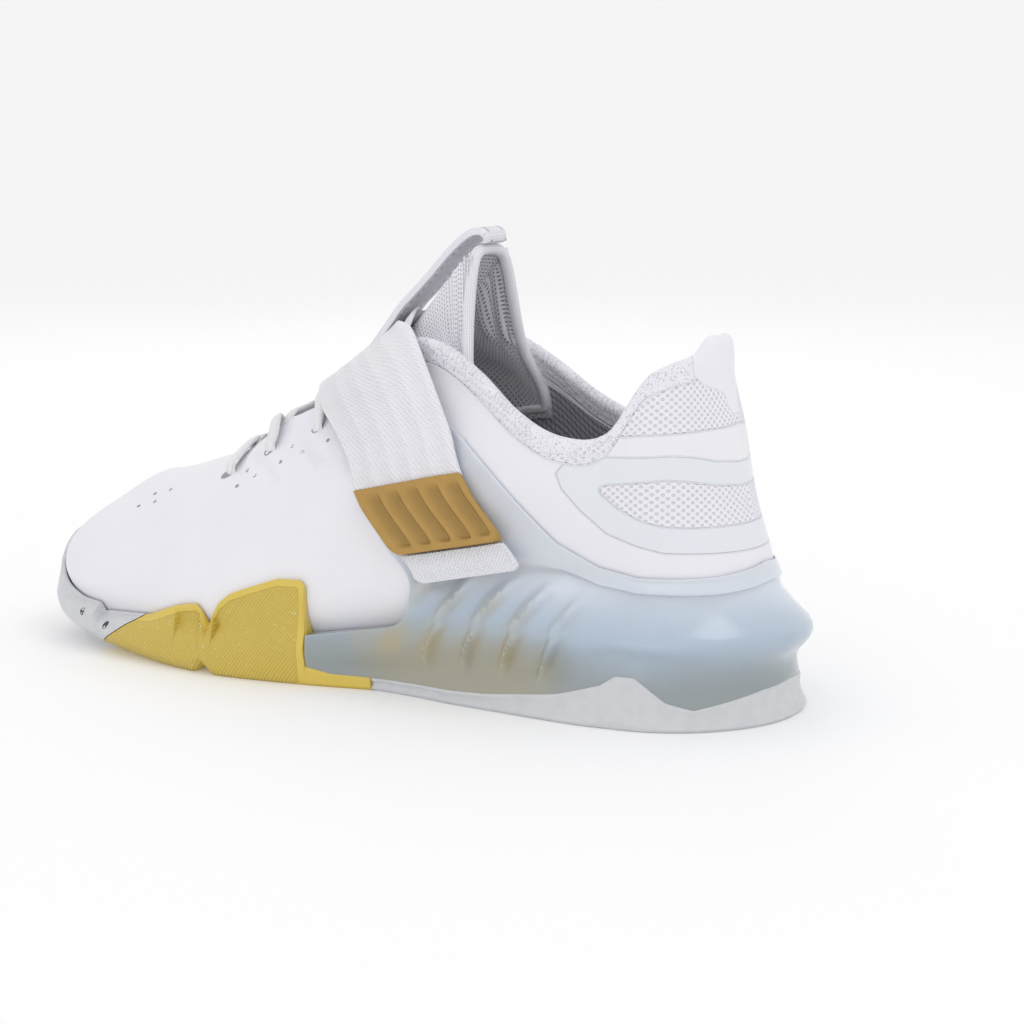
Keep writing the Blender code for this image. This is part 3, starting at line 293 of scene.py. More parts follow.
def spine(along):
    return toeCentreX * along, -toeInswing * smooth((along - 0.3) / 0.7)


def halfWidth(k):
    turn = turnAt(k)
    if turn > 90:
        return between(heelHalfWidth, heelBackReach, (turn - 90) / 90)
    if turn < 90:
        return between(ballHalfWidth, toeFrontReach, (90 - turn) / 90)
    return between(heelHalfWidth, ballHalfWidth, smooth(alongAt(k)))


def place(side, k, reach, height):
    # The point of the shoe at this reach and height in a ray
    x, y = spine(alongAt(k))
    turn = math.radians(turnAt(k))
    return x + reach * math.cos(turn), y + side * reach * math.sin(turn), height


def toeShare(x):
    # 0 up to the ball, and 1 at the tip of the sole
    ballX = spine(0.75)[0]
    return max(0.0, (x - ballX) / (toeCentreX + toeFrontReach - ballX))


def footbed(x):
    drop = 1 - smooth(x / (0.68 * toeCentreX))
    return forefootStack + (heelStack - forefootStack) * drop + toeSpring * toeShare(x) ** 2


def tread(x):
    groove = max(0.0, 1 - abs(x - spine(0.755)[0]) / (grooveWidth / 2))
    return toeLift * toeShare(x) ** 2 + grooveDepth * groove


knotSteps = 10


@lru_cache(maxsize=None)
def profile(side, k):
    # The upper's outer face in a ray, from its bottom to its edge
    reach = curveAt(upperRows[side], k + 1) * halfWidth(k)
    ups = curveAt(heightRows, k + 1)[1:]
    rim = curveAt(heightRows, min(k, toeFan) + 1)[0]
    low = footbed(place(side, k, reach[0], 0)[0])
    top = rim * collarHeight
    closed = k >= 12.9
    if closed:
        reach[-1] = 0.0
    heights = [low, *(low + up * (top - low) for up in ups), top]
    knots = np.stack([reach, heights], 1)
    straight = 2 * knots[4] - knots[3]
    crown = np.array([-knots[3][0], knots[3][1]])
    flat = smooth(1 - knots[4][0] / (0.3 * halfWidth(k)))
    knots = [2 * knots[0] - knots[1], *knots, straight + (crown - straight) * flat]
    return np.array([curveAt(knots, 1 + i / knotSteps) for i in range(4 * knotSteps + 1)]), closed


def normals(chain, levelEnd=False):
    # Outward unit normals of a chain in its ray
    step = np.gradient(chain, axis=0)
    step /= np.linalg.norm(step, axis=1)[:, None]
    out = np.stack([step[:, 1], -step[:, 0]], 1)
    if levelEnd:
        out[-1] = (0, 1)
    return out


def pushed(chain, out, levelEnd=False):
    return chain + normals(chain, levelEnd) * np.reshape(out, (-1, 1))


def lengths(chain):
    return np.concatenate([[0], np.cumsum(np.linalg.norm(np.diff(chain, axis=0), axis=1))])


def resampled(chain, at):
    run = lengths(chain)
    return np.stack([np.interp(at, run, chain[:, 0]), np.interp(at, run, chain[:, 1])], 1)


def upToHeight(chain, height, count):
    # count points of the chain, from its start to where it reaches this height
    run = lengths(chain)
    end = np.interp(height, chain[:, 1], run)
    return resampled(chain, np.linspace(0, end, count))


def pointAtHeight(chain, height):
    return upToHeight(chain, height, 2)[-1]


def tableAt(rows, k):
    return float(np.interp(k, [row[0] for row in rows], [row[1] for row in rows]))


def swells(k, run):
    # Extra thickness of each face at these distances from the bottom: the padded roll at the collar's edge
    most = (collarBead - wall) / 2 * (1 - smooth((k - collarEnd + 0.4) / 0.8))
    return np.array([most * smooth(1 - (run[-1] - at) / (1.6 * collarBead)) for at in run])


# Sole
@lru_cache(maxsize=None)
def soleSide(side, k):
    # Reach and height of the ground edge, lip, waist and ledge of the sole's side
    *reach, waistUp, ledgeUp = curveAt(soleRows[side], k + 1)
    reach = np.array(reach) * halfWidth(k)
    low = [tread(place(side, k, r, 0)[0]) for r in reach]
    stack = footbed(place(side, k, reach[3], 0)[0]) - low[3]
    lipUp = tableAt(lipRows, k) * heelStack if k < waistEnd else 0.35 * stack
    heights = [low[0], low[1] + lipUp, low[2] + waistUp * stack, low[3] + ledgeUp * stack]
    return np.stack([reach, heights], 1)


def tray(side, k, reach):
    return tread(place(side, k, reach, 0)[0]) + treadThickness


def lipHeight(side, k):
    reach, height = soleSide(side, k)[1]
    return max(height, tray(side, k, reach) + 0.3 * treadThickness)


def floorPoints(side, k, end, count, heightAt):
    # Points from the spine out to this reach, at heights that follow the place
    return [(r, heightAt(place(side, k, r, 0)[0])) for r in np.linspace(0, end, count)]


def trayRay(side, k):
    # The tread where the midsole lies on it
    ground, lip = soleSide(side, k)[:2]
    top = lipHeight(side, k)
    inside = lip[0] - lipWidth
    bottom = floorPoints(side, k, ground[0] - treadBevel, 2, tread)
    outer = [(ground[0], ground[1] + treadBevel), (lip[0], top)]
    inner = [(inside, top)]
    floor = floorPoints(side, k, inside, 2, lambda x: tread(x) + treadThickness)[::-1]
    return bottom, outer, inner, floor


cupPoints = 8


def cupInside(side, k, rim, count):
    # The cup's inner face: the upper's outer face with a gap, up to the rim
    chain, closed = profile(side, k)
    return upToHeight(pushed(chain, cupClear, closed), rim, count)


def cupRim(side, k):
    return tableAt(cupLateral if side == lateral else cupMedial, k) * collarHeight


def midsoleSide(side, k):
    # The midsole's outer side in a ray, from the tread's lip up to the cup's rim
    _, lip, waist, ledge = soleSide(side, k)
    rim = cupRim(side, k)
    inside = cupInside(side, k, rim, cupPoints)
    rimOut = inside[-1] + normals(inside)[-1] * cupWall
    low = ledge[1]
    knots = [(lip[0] - gap, lipHeight(side, k) + gap), waist, ledge]
    if rim - low > flareLeast:
        face = pushed(profile(side, k)[0], cupClear + cupWall)
        flare = low + 0.62 * min(rim - low, flareHeight)
        knots.extend(pointAtHeight(face, between(flare, rim, share)) for share in (0, 1 / 3, 2 / 3))
    else:
        knots.extend(between(ledge, rimOut, share) for share in (1 / 4, 1 / 2, 3 / 4))
    knots.append(rimOut)
    sidePoints = [curveAt(knots, i / 2) for i in range(2 * len(knots) - 1)]
    if side == lateral:
        x = place(side, k, 0, 0)[0]
        for point in sidePoints[1:6]:
            point[0] += ribDepth * rib(x, point[1])
    return sidePoints


def rib(x, height):
    # Slanting ribs on the outer side of the arch
    start, end = spine(0.09)[0], spine(0.39)[0]
    fade = smooth((x - start) / ribPitch) * smooth((end - x) / ribPitch)
    return fade * math.sin(2 * math.pi * (x + ribSlant * height) / ribPitch)


# Tongue
# along: share of the way from heel centre to toe centre of the middle. up: the middle's height as a share of
# collarHeight. half: half width as a share of heelHalfWidth. back, down: how far the edge lies behind and
# below the middle, as shares of heelHalfWidth.
tongueRows = [
    # along, up, half, back, down
    (0.905, 0.525, 0.34, 0.00, 0.10),
    (0.850, 0.565, 0.44, 0.02, 0.14),
    (0.790, 0.630, 0.50, 0.06, 0.22),
    (0.710, 0.730, 0.54, 0.14, 0.32),
    (0.620, 0.850, 0.57, 0.28, 0.42),
    (0.520, 0.985, 0.59, 0.52, 0.44),
    (0.470, 1.070, 0.60, 0.70, 0.32),
    (0.425, 1.160, 0.59, 0.56, 0.22),
    (0.390, 1.225, 0.52, 0.34, 0.13),
    (0.368, 1.255, 0.40, 0.16, 0.07),
    (0.350, 1.275, 0.22, 0.05, 0.03),
]


def innerHeight(side, x, reach):
    # Height of the upper's inner face at this place, or a great height inside the opening
    k = placeAlong(x / toeCentreX)
    chain, closed = profile(side, k)
    thick = wall + tongueClear + swells(k, lengths(chain))
    face = pushed(chain, -thick, closed)[knotSteps * 2:][::-1]
    edge = thick[-1] - wall / 2
    if reach < face[0][0] - edge:
        return soleLength
    slope = (face[1] - face[0]) / (face[1][0] - face[0][0])
    if reach < face[0][0]:
        return float(face[0][1] + slope[1] * (reach - face[0][0]))
    return float(np.interp(reach, face[:, 0], face[:, 1]))


def tongueTop(row, share):
    along, up, half, back, down = row
    x, y = spine(along)
    side = lateral if share >= 0 else medial
    reach = half * heelHalfWidth * abs(share)
    x -= back * heelHalfWidth * share**2
    z = up * collarHeight - down * heelHalfWidth * share**2
    return x, y + side * reach, min(z, innerHeight(side, x, reach))


# What lies over the instep
tongueCurve = np.array([curveAt(tongueRows, at) for at in np.linspace(len(tongueRows) - 1, 0, 81)])


def tongueHeight(x, reach):
    # Height of the tongue's face at this place; its sides lie further back than its middle
    along = x / toeCentreX
    for _ in range(12):
        up, half, back, down = (np.interp(along, tongueCurve[:, 0], tongueCurve[:, i]) for i in range(1, 5))
        share = reach / (half * heelHalfWidth)
        along = (x + back * heelHalfWidth * share**2) / toeCentreX
    return up * collarHeight - down * heelHalfWidth * share**2


@lru_cache(maxsize=None)
def outside(side, k):
    # The shoe's outside in a ray, from the upper's edge down to the sole's ledge
    chain, closed = profile(side, k)
    thick = swells(k, lengths(chain))
    chain = pushed(chain, thick, closed)
    if not closed:
        out = normals(chain)[-1]
        half = wall / 2 + thick[-1]
        along = np.array([-out[1], out[0]])
        chain = np.array([*chain, chain[-1] + (0.8 * along - 0.3 * out) * half])
    if k >= wingEnd:
        return chain[::-1]
    wing = midsoleSide(side, k)[2:][::-1]
    return [*(p for p in chain[::-1] if p[1] > wing[0][1]), *wing]


def overInstep(x, angle, clear):
    # The point in the section at x, at this angle from straight up, that lies clear outside upper and tongue
    side = lateral if angle >= 0 else medial
    low = instepAxisUp * collarHeight
    y = spine(x / toeCentreX)[1]
    face = outside(side, placeAlong(x / toeCentreX))
    middle = []
    if face[0][0] > laceWidth:
        middle = [(r, tongueHeight(x, r)) for r in np.linspace(0, 0.9 * face[0][0], 6)]
    points = [(r, z - low) for r, z in [*middle, *face]]
    hull = []
    for point in points:
        while len(hull) > 1 and turnsIn(hull[-2], hull[-1], point):
            hull.pop()
        hull.append(point)
    turn = [math.atan2(r, z) for r, z in hull]
    here = math.radians(abs(angle))
    i = max(0, min(len(hull) - 2, int(np.searchsorted(turn, here)) - 1))
    (r0, z0), (r1, z1) = hull[i], hull[i + 1]
    across = (math.sin(here), math.cos(here))
    cross = (r1 - r0) * across[1] - (z1 - z0) * across[0]
    radius = ((r1 - r0) * z0 - (z1 - z0) * r0) / cross if abs(cross) > 1e-12 else math.hypot(r0, z0)
    radius += clear
    return x, y + side * radius * across[0], low + radius * across[1]


def turnsIn(a, b, c):
    # True where the middle point lies inside the straight line past it
    return (b[0] - a[0]) * (c[1] - a[1]) - (b[1] - a[1]) * (c[0] - a[0]) >= 0


# The strap's middle line. angle: degrees from straight up, lateral is positive. along: share of the way from
# heel centre to toe centre. lean: how far the strap's width turns down from level, in degrees.
strapRows = [
    # angle, along, lean
    (-72, 0.33, 8),
    (-53, 0.385, 12),
    (-41, 0.415, 16),
    (-30, 0.455, 20),
    (-15, 0.545, 36),
    (0, 0.590, 42),
    (15, 0.545, 36),
    (30, 0.462, 20),
    (41, 0.412, 16),
    (53, 0.383, 14),
    (75, 0.300, 13),
    (86, 0.262, 13),
]
strapFrom, strapTo, endTo, tipTo = -72, 52, 75, 86
strapJoint = 0.5  # degrees between the strap, its end and its tip
laceClear = 5 * gap + laceLift + laceThickness


def strapClear(angle):
    return between(laceClear, 2 * gap, smooth((abs(angle) - 34) / 14))


def strapPoint(angle, share, out):
    # share: -1 at the strap's rear edge and 1 at its front edge. out: distance above its underside
    angles = [row[0] for row in strapRows]
    at = float(np.interp(angle, angles, range(len(strapRows))))
    _, along, lean = curveAt(strapRows, at)
    lean = math.radians(lean)
    half = share * strapWidth / 2
    x = spine(along)[0] + half * math.cos(lean)
    radius = 0.4 * collarHeight
    tilt = math.degrees(half * math.sin(lean) / radius) * abs(math.sin(math.radians(angle)))
    turned = angle + (tilt if angle > 0 else -tilt)
    centre = (spine(x / toeCentreX)[1], instepAxisUp * collarHeight)
    places = (x - strapStiffness, x, x + strapStiffness)
    near = [math.dist(overInstep(atX, turned, 0)[1:], centre) for atX in places]
    rise = (max(near) - near[1]) * smooth((abs(angle) - 34) / 14)
    return overInstep(x, turned, strapClear(angle) + rise + out)


# Pull tab: a webbing loop on the tongue's face. along, up: shares as in tongue, of the loop's middle line
pullTab = [
    (0.492, 1.090), (0.470, 1.128), (0.438, 1.185), (0.400, 1.256),
    (0.367, 1.304), (0.347, 1.312), (0.341, 1.286),
]



def denser(points, count):
    # The smooth curve through rows of points, as this many rows
    points = np.asarray(points, float)
    return np.array([curveAt(points, at) for at in np.linspace(0, len(points) - 1, count)])


def linear(hexColour):
    # An sRGB hex colour as linear RGBA
    parts = [int(hexColour[i : i + 2], 16) / 255 for i in (1, 3, 5)]
    return (*(c / 12.92 if c <= 0.04045 else ((c + 0.055) / 1.055) ** 2.4 for c in parts), 1.0)


def addNode(tree, kind, inputs=None, **settings):
    # Adds a shader node. inputs: value or output socket for each input's name or number
    node = tree.nodes.new(kind)
    for name, value in settings.items():
        setattr(node, name, value)
    for name, value in (inputs or {}).items():
        if isinstance(value, bpy.types.NodeSocket):
            tree.links.new(value, node.inputs[name])
        else:
            node.inputs[name].default_value = value
    return node


def newMaterial(name):
    made = bpy.data.materials.new(name)
    made.use_nodes = True
    tree = made.node_tree
    return made, tree, tree.nodes["Principled BSDF"]


def mathOf(tree, operation, *values):
    node = addNode(tree, "ShaderNodeMath", dict(enumerate(values)), operation=operation)
    return node.outputs[0]


def mixed(tree, share, first, second):
    node = addNode(tree, "ShaderNodeMix", {0: share, 6: first, 7: second}, data_type="RGBA")
    return node.outputs[2]


def ramp(tree, value, low, high, start=0.0, end=1.0):
    # Smooth change of value from start at low to end at high
    node = addNode(tree, "ShaderNodeMapRange", {0: value, 1: low, 2: high, 3: start, 4: end})
    node.interpolation_type = "SMOOTHSTEP"
    return node.outputs[0]


def mark(tree, name):
    return addNode(tree, "ShaderNodeAttribute", attribute_name=name).outputs["Fac"]


def flatPlace(tree):
    # Millimetres along and up the surface
    node = addNode(tree, "ShaderNodeAttribute", attribute_name="flat")
    return addNode(tree, "ShaderNodeSeparateXYZ", {0: node.outputs["Vector"]}).outputs


def objectPlace(tree):
    return addNode(tree, "ShaderNodeTexCoord").outputs["Object"]


def noise(tree, size, detail=3.0, place=None):
    # Noise with features of about this size in metres
    inputs = {"Vector": place or objectPlace(tree), "Scale": 1 / size, "Detail": detail}
    return addNode(tree, "ShaderNodeTexNoise", inputs).outputs[0]


def wave(tree, value, pitch):
    # A sine of this pitch, from -1 to 1
    return mathOf(tree, "SINE", mathOf(tree, "MULTIPLY", value, 2 * math.pi / pitch))


def bumped(tree, shader, layers):
    # layers: (height from 0 to 1, depth in metres)
    normal = None
    for height, depth in layers:
        inputs = {"Height": height, "Distance": depth, "Strength": 1.0}
        if normal:
            inputs["Normal"] = normal
        normal = addNode(tree, "ShaderNodeBump", inputs).outputs[0]
    tree.links.new(normal, shader.inputs["Normal"])


def gridObject(name, points, finish, loopRows=False, loopColumns=False, marks=None, flat=None, keep=None):
    # A mesh from a grid of points. marks: a number for each point under each name. keep: faces to keep
    points = np.asarray(points, float)
    rows, columns = points.shape[:2]
    index = np.arange(rows * columns).reshape(rows, columns)
    if loopRows:
        index = np.concatenate([index, index[:1]])
    if loopColumns:
        index = np.concatenate([index, index[:, :1]], 1)
    faces = np.stack([index[:-1, :-1], index[:-1, 1:], index[1:, 1:], index[1:, :-1]], -1)
    if keep is not None:
        faces = faces[keep]
    faces = faces.reshape(-1, 4)
    mesh = bpy.data.meshes.new(name)
    mesh.from_pydata(points.reshape(-1, 3), [], faces)
    for markName, values in (marks or {}).items():
        layer = mesh.attributes.new(markName, "FLOAT", "POINT")
        layer.data.foreach_set("value", np.asarray(values, np.float32).ravel())
    if flat is not None:
        layer = mesh.attributes.new("flat", "FLOAT_VECTOR", "POINT")
        whole = np.concatenate([flat, np.zeros((rows, columns, 1))], 2)
        layer.data.foreach_set("vector", whole.astype(np.float32).ravel())
    return finished(name, mesh, finish)


def finished(name, mesh, finish, sharpAngle=50):
    build = bmesh.new()
    build.from_mesh(mesh)
    bmesh.ops.remove_doubles(build, verts=build.verts, dist=2e-6)
    bmesh.ops.recalc_face_normals(build, faces=build.faces)
    build.to_mesh(mesh)
    build.free()
    mesh.shade_smooth()
    mesh.set_sharp_from_angle(angle=math.radians(sharpAngle))
    if finish is not None:
        mesh.materials.append(finish)
    made = bpy.data.objects.new(name, mesh)
    bpy.context.scene.collection.objects.link(made)
    return made


def placed(made, slotName, *nodes):
    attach(made, "root")
    if nodes:
        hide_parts(*nodes)
    return made


def tube(name, line, radius, finish, sides=12, closed=False, flatten=1.0, caps=True):
    # A round bar along a line of points
    line = np.asarray(line, float)
    if closed:
        step = np.roll(line, -1, 0) - np.roll(line, 1, 0)
    else:
        step = np.gradient(line, axis=0)
    step /= np.linalg.norm(step, axis=1)[:, None]
    across = np.cross(step, (0.0, 0.0, 1.0))
    for i in range(len(across)):
        if np.linalg.norm(across[i]) < 0.2:
            across[i] = np.cross(step[i], (0.0, 1.0, 0.0))
        if i and across[i] @ across[i - 1] < 0:
            across[i] = -across[i]
        across[i] /= np.linalg.norm(across[i])
    up = np.cross(across, step)
    turn = np.linspace(0, 2 * math.pi, sides, endpoint=False)
    radii = np.broadcast_to(radius, len(line))
    ringed = [
        p + r * (np.cos(turn)[:, None] * a + flatten * np.sin(turn)[:, None] * u)
        for p, a, u, r in zip(line, across, up, radii)
    ]
    if caps and not closed:
        ringed = [np.repeat(line[:1], sides, 0), *ringed, np.repeat(line[-1:], sides, 0)]
    run = np.concatenate([[0], np.cumsum(np.linalg.norm(np.diff(line, axis=0), axis=1))]) * 1000
    if len(ringed) > len(line):
        run = np.concatenate([[run[0]], run, [run[-1]]])
    girth = turn * float(np.mean(radii)) * 1000
    flat = np.stack(np.meshgrid(run, girth, indexing="ij"), -1)
    return gridObject(name, ringed, finish, loopRows=closed, loopColumns=True, flat=flat)


# Chart of the upper: millimetres round from the middle of the heel's back, and height in millimetres
heelRound = 42.0


def roundAt(k):
    if k <= 2:
        return heelRound * k / 2
    return heelRound + 1000 * toeCentreX * alongAt(k)


def edgeDistance(points, outline):
    # Distance to a closed outline in the chart, positive inside
    points = np.asarray(points, float)
    outline = np.asarray(outline, float)
    nearest = np.full(points.shape[:-1], 1e9)
    inside = np.zeros(points.shape[:-1], bool)
    for a, b in zip(outline, np.roll(outline, -1, 0)):
        line = b - a
        share = np.clip(((points - a) @ line) / (line @ line), 0, 1)
        nearest = np.minimum(nearest, np.linalg.norm(points - a - share[..., None] * line, axis=-1))
        crosses = (a[1] > points[..., 1]) != (b[1] > points[..., 1])
        with np.errstate(divide="ignore", invalid="ignore"):
            at = a[0] + (points[..., 1] - a[1]) * line[0] / line[1]
        inside ^= crosses & (points[..., 0] < at)
    return np.where(inside, nearest, -nearest)


# Upper: shell with heel window, film ring, knit collar and creases. The outlines are in the chart
upperLook = {
    "white": "#ECEBF0",
    "cloud": "#E3E2EA",
    "mesh": "#EBEAF0",
    "meshHole": "#D6D4DC",
    "film": "#E0E4E9",
    "seam": "#BFBDC8",
    "knit": "#EBEAF0",
    "knitSpeck": "#CBC9D4",
    "lining": "#ACAAB1",
    "liningDot": "#77757D",
    "meshPitch": 3.0,  # mm
    "linerPitch": 3.4,  # mm
}
filmOutline = [
    (-10, 82.2), (2.7, 81.9), (16.4, 82.9), (26, 84.7), (33.3, 85.4), (49.4, 84.5), (65.2, 82.9), (68.3, 80.8),
    (70.6, 78.1), (68.1, 73.2), (61, 66.4), (52.5, 59.9), (42.9, 56.8), (34.8, 54.8), (20, 54.4), (-10, 54.0),
]
windowOutline = [
    (-10, 74.2), (4.9, 74.4), (18, 75.4), (29.5, 77.3), (35.3, 77.7), (52.2, 75.6), (55.0, 74.9), (55.5, 73.7),
    (54.2, 72.2), (49.1, 68.5), (40.7, 64.6), (35, 63.2), (26.3, 62.5), (15.4, 62.5), (-10, 62.4),
]
collarSeam = [
    (-10, 93.8), (0, 93.6), (10.6, 92.9), (27.4, 92.3), (41.8, 91.6), (52, 90.2), (60, 88.2), (66, 84), (80, 84),
    (80, 140), (-10, 140),
]
heelTab = [(-10, 96), (4, 97), (7, 103), (18, 105.5), (25, 109), (27, 125), (-10, 125)]
# Soft troughs: round and height of the start, middle and end, in mm, and width and depth in mm
creases = [
    ((200, 71.2), (191, 69.4), (183, 66.0), 2.0, 1.1),
    ((180, 81.0), (171, 78.0), (164, 75.5), 2.0, 1.0),
    ((205, 66.0), (199, 62.0), (196, 57.0), 3.5, 0.5),
    ((222, 58.0), (214, 52.0), (209, 45.0), 4.5, 0.5),
    ((160, 88.0), (152, 82.0), (149, 76.0), 3.0, 0.6),
]


def creaseDepth(chart):
    depth = np.zeros(chart.shape[:-1])
    for start, middle, end, width, deep in creases:
        nearest = np.full(depth.shape, 1e9)
        line = denser([start, middle, end], 9)
        for a, b in zip(line, line[1:]):
            step = b - a
            share = np.clip(((chart - a) @ step) / (step @ step), 0, 1)
            nearest = np.minimum(nearest, np.linalg.norm(chart - a - share[..., None] * step, axis=-1))
        depth += deep * np.exp(-((nearest / width) ** 2))
        depth -= 0.45 * deep * np.exp(-(((nearest - 1.9 * width) / width) ** 2))
    return depth


outerCount, capCount, innerCount = 64, 9, 22


def upperRay(side, k):
    chain, closed = profile(side, k)
    whole = lengths(chain)[-1]
    outerRun = whole * np.linspace(0, 1, outerCount)
    outerBase = resampled(chain, outerRun)
    out = normals(outerBase, closed)
    thick = swells(k, outerRun)
    chart = np.stack([np.full(outerCount, roundAt(k)), outerBase[:, 1] * 1000], -1)
    dent = creaseDepth(chart) * 0.001
    outer = outerBase + out * (thick - dent)[:, None]
    innerRun = whole * np.linspace(1, 0, innerCount)
    innerBase = resampled(chain, innerRun)
    innerOut = normals(innerBase[::-1], closed)[::-1]
    inner = innerBase - innerOut * (wall + swells(k, innerRun))[:, None]
    if closed:
        cap = np.linspace(outer[-1], inner[0], capCount + 2)[1:-1]
    else:
        middle = (outer[-1] + inner[0]) / 2
        arm = outer[-1] - middle
        rise = np.array([-arm[1], arm[0]])
        if rise[1] < 0:
            rise = -rise
        turn = np.linspace(0, math.pi, capCount + 2)[1:-1, None]
        cap = middle + arm * np.cos(turn) + rise * np.sin(turn)
    ray = np.concatenate([outer, cap, inner])
    solid = np.array([place(side, k, *point) for point in ray])
    bump = smooth(1 - abs(roundAt(k) - 10) / 18)
    for point in solid:
        point[2] += 3.5 * mm * bump * smooth((point[2] - 100 * mm) / (14 * mm))
    fromEdge = np.concatenate([(whole - outerRun), np.zeros(capCount), whole - innerRun]) * 1000
    up = np.concatenate([outerRun, np.full(capCount, whole), whole + (whole - innerRun)]) * 1000
    return solid, chart, fromEdge, up, closed


def upperMaterial():
    # Coated synthetic: matt under a thin soft coat, while mesh and knit scatter more and look duller
    look = upperLook
    made, tree, shader = newMaterial("white coated synthetic and mesh")
    film, window = mark(tree, "film"), mark(tree, "window")
    collar, edge = mark(tree, "collar"), mark(tree, "fromEdge")
    along, up, _ = flatPlace(tree)
    knit = ramp(tree, edge, 5.7, 5.3)
    meshArea = mathOf(tree, "MAXIMUM", ramp(tree, window, -0.3, 0.3), ramp(tree, collar, -0.3, 0.3))
    pitch = look["meshPitch"]
    rise = mathOf(tree, "MULTIPLY", wave(tree, along, pitch), wave(tree, up, 0.8 * pitch))
    hole = ramp(tree, rise, 0.15, 0.8)
    filmArea = mathOf(tree, "SUBTRACT", ramp(tree, film, -0.2, 0.3), ramp(tree, window, -0.3, 0.2))
    belowCollar = mathOf(tree, "SUBTRACT", 1.0, ramp(tree, collar, -0.3, 0.3))
    filmArea = mathOf(tree, "MULTIPLY", filmArea, belowCollar)
    seams = mathOf(tree, "MAXIMUM", ramp(tree, mathOf(tree, "ABSOLUTE", collar), 0.55, 0.15),
                   ramp(tree, mathOf(tree, "ABSOLUTE", film), 0.45, 0.1))
    seams = mathOf(tree, "MAXIMUM", seams, ramp(tree, mathOf(tree, "ABSOLUTE", window), 0.5, 0.1))
    tab = ramp(tree, mark(tree, "tab"), -0.3, 0.3)
    plain = mathOf(tree, "SUBTRACT", 1.0, tab)
    knitArea = mathOf(tree, "MULTIPLY", knit, ramp(tree, mark(tree, "throat"), 0.6, 0.2))
    knitArea = mathOf(tree, "MULTIPLY", knitArea, plain)
    meshArea = mathOf(tree, "MULTIPLY", mathOf(tree, "SUBTRACT", meshArea, knitArea), plain)
    knitSeam = ramp(tree, mathOf(tree, "ABSOLUTE", mathOf(tree, "SUBTRACT", edge, 5.6)), 0.55, 0.15)
    seams = mathOf(tree, "MULTIPLY", seams, mathOf(tree, "SUBTRACT", 1.0, knit))
    seams = mathOf(tree, "MAXIMUM", seams, knitSeam)
    behindThroat = ramp(tree, mark(tree, "throat"), 0.6, 0.2)
    seams = mathOf(tree, "MULTIPLY", seams, mathOf(tree, "MULTIPLY", plain, behindThroat))
    speck = ramp(tree, noise(tree, 0.0007, 1.0), 0.56, 0.68)
    grain = noise(tree, 0.0007, 4.0)
    soft = noise(tree, 0.03, 2.0)
    colour = mixed(tree, ramp(tree, soft, 0.3, 0.7, 0.0, 0.35), linear(look["white"]), linear(look["cloud"]))
    meshColour = mixed(tree, hole, linear(look["mesh"]), linear(look["meshHole"]))
    colour = mixed(tree, meshArea, colour, meshColour)
    colour = mixed(tree, mathOf(tree, "MULTIPLY", filmArea, 0.75), colour, linear(look["film"]))
    knitColour = mixed(tree, speck, linear(look["knit"]), linear(look["knitSpeck"]))
    colour = mixed(tree, knitArea, colour, knitColour)
    colour = mixed(tree, mathOf(tree, "MULTIPLY", seams, 0.18), colour, linear(look["seam"]))
    tree.links.new(colour, shader.inputs["Base Color"])
    coarse = mathOf(tree, "MAXIMUM", meshArea, knitArea)
    rough = mathOf(tree, "ADD", 0.46, mathOf(tree, "MULTIPLY", coarse, 0.35))
    rough = mathOf(tree, "SUBTRACT", rough, mathOf(tree, "MULTIPLY", filmArea, 0.2))
    tree.links.new(rough, shader.inputs["Roughness"])
    shader.inputs["Coat Weight"].default_value = 0.08
    shader.inputs["Coat Roughness"].default_value = 0.35
    dots = mathOf(tree, "MULTIPLY", mathOf(tree, "SUBTRACT", 1.0, hole), meshArea)
    raised = ramp(tree, film, -0.4, 0.4)
    knitRise = mathOf(tree, "MULTIPLY", noise(tree, 0.0012, 2.0), knitArea)
    bumped(tree, shader, [
        (grain, 0.00006), (dots, 0.00025), (raised, 0.0002), (seams, -0.0002), (knitRise, 0.0004),
    ])
    return made


def liningMaterial():
    # Open lining mesh: dull, with dark dots that read as depth
    look = upperLook
    made, tree, shader = newMaterial("grey mesh lining")
    along, up, _ = flatPlace(tree)
    pitch = look["linerPitch"]
    rise = mathOf(tree, "MULTIPLY", wave(tree, along, pitch), wave(tree, up, 0.8 * pitch))
    dot = ramp(tree, rise, 0.1, 0.6)
    colour = mixed(tree, dot, linear(look["lining"]), linear(look["liningDot"]))
    tree.links.new(colour, shader.inputs["Base Color"])
    shader.inputs["Roughness"].default_value = 0.9
    bumped(tree, shader, [(mathOf(tree, "SUBTRACT", 1.0, dot), 0.0004), (noise(tree, 0.0006), 0.0001)])
    return made


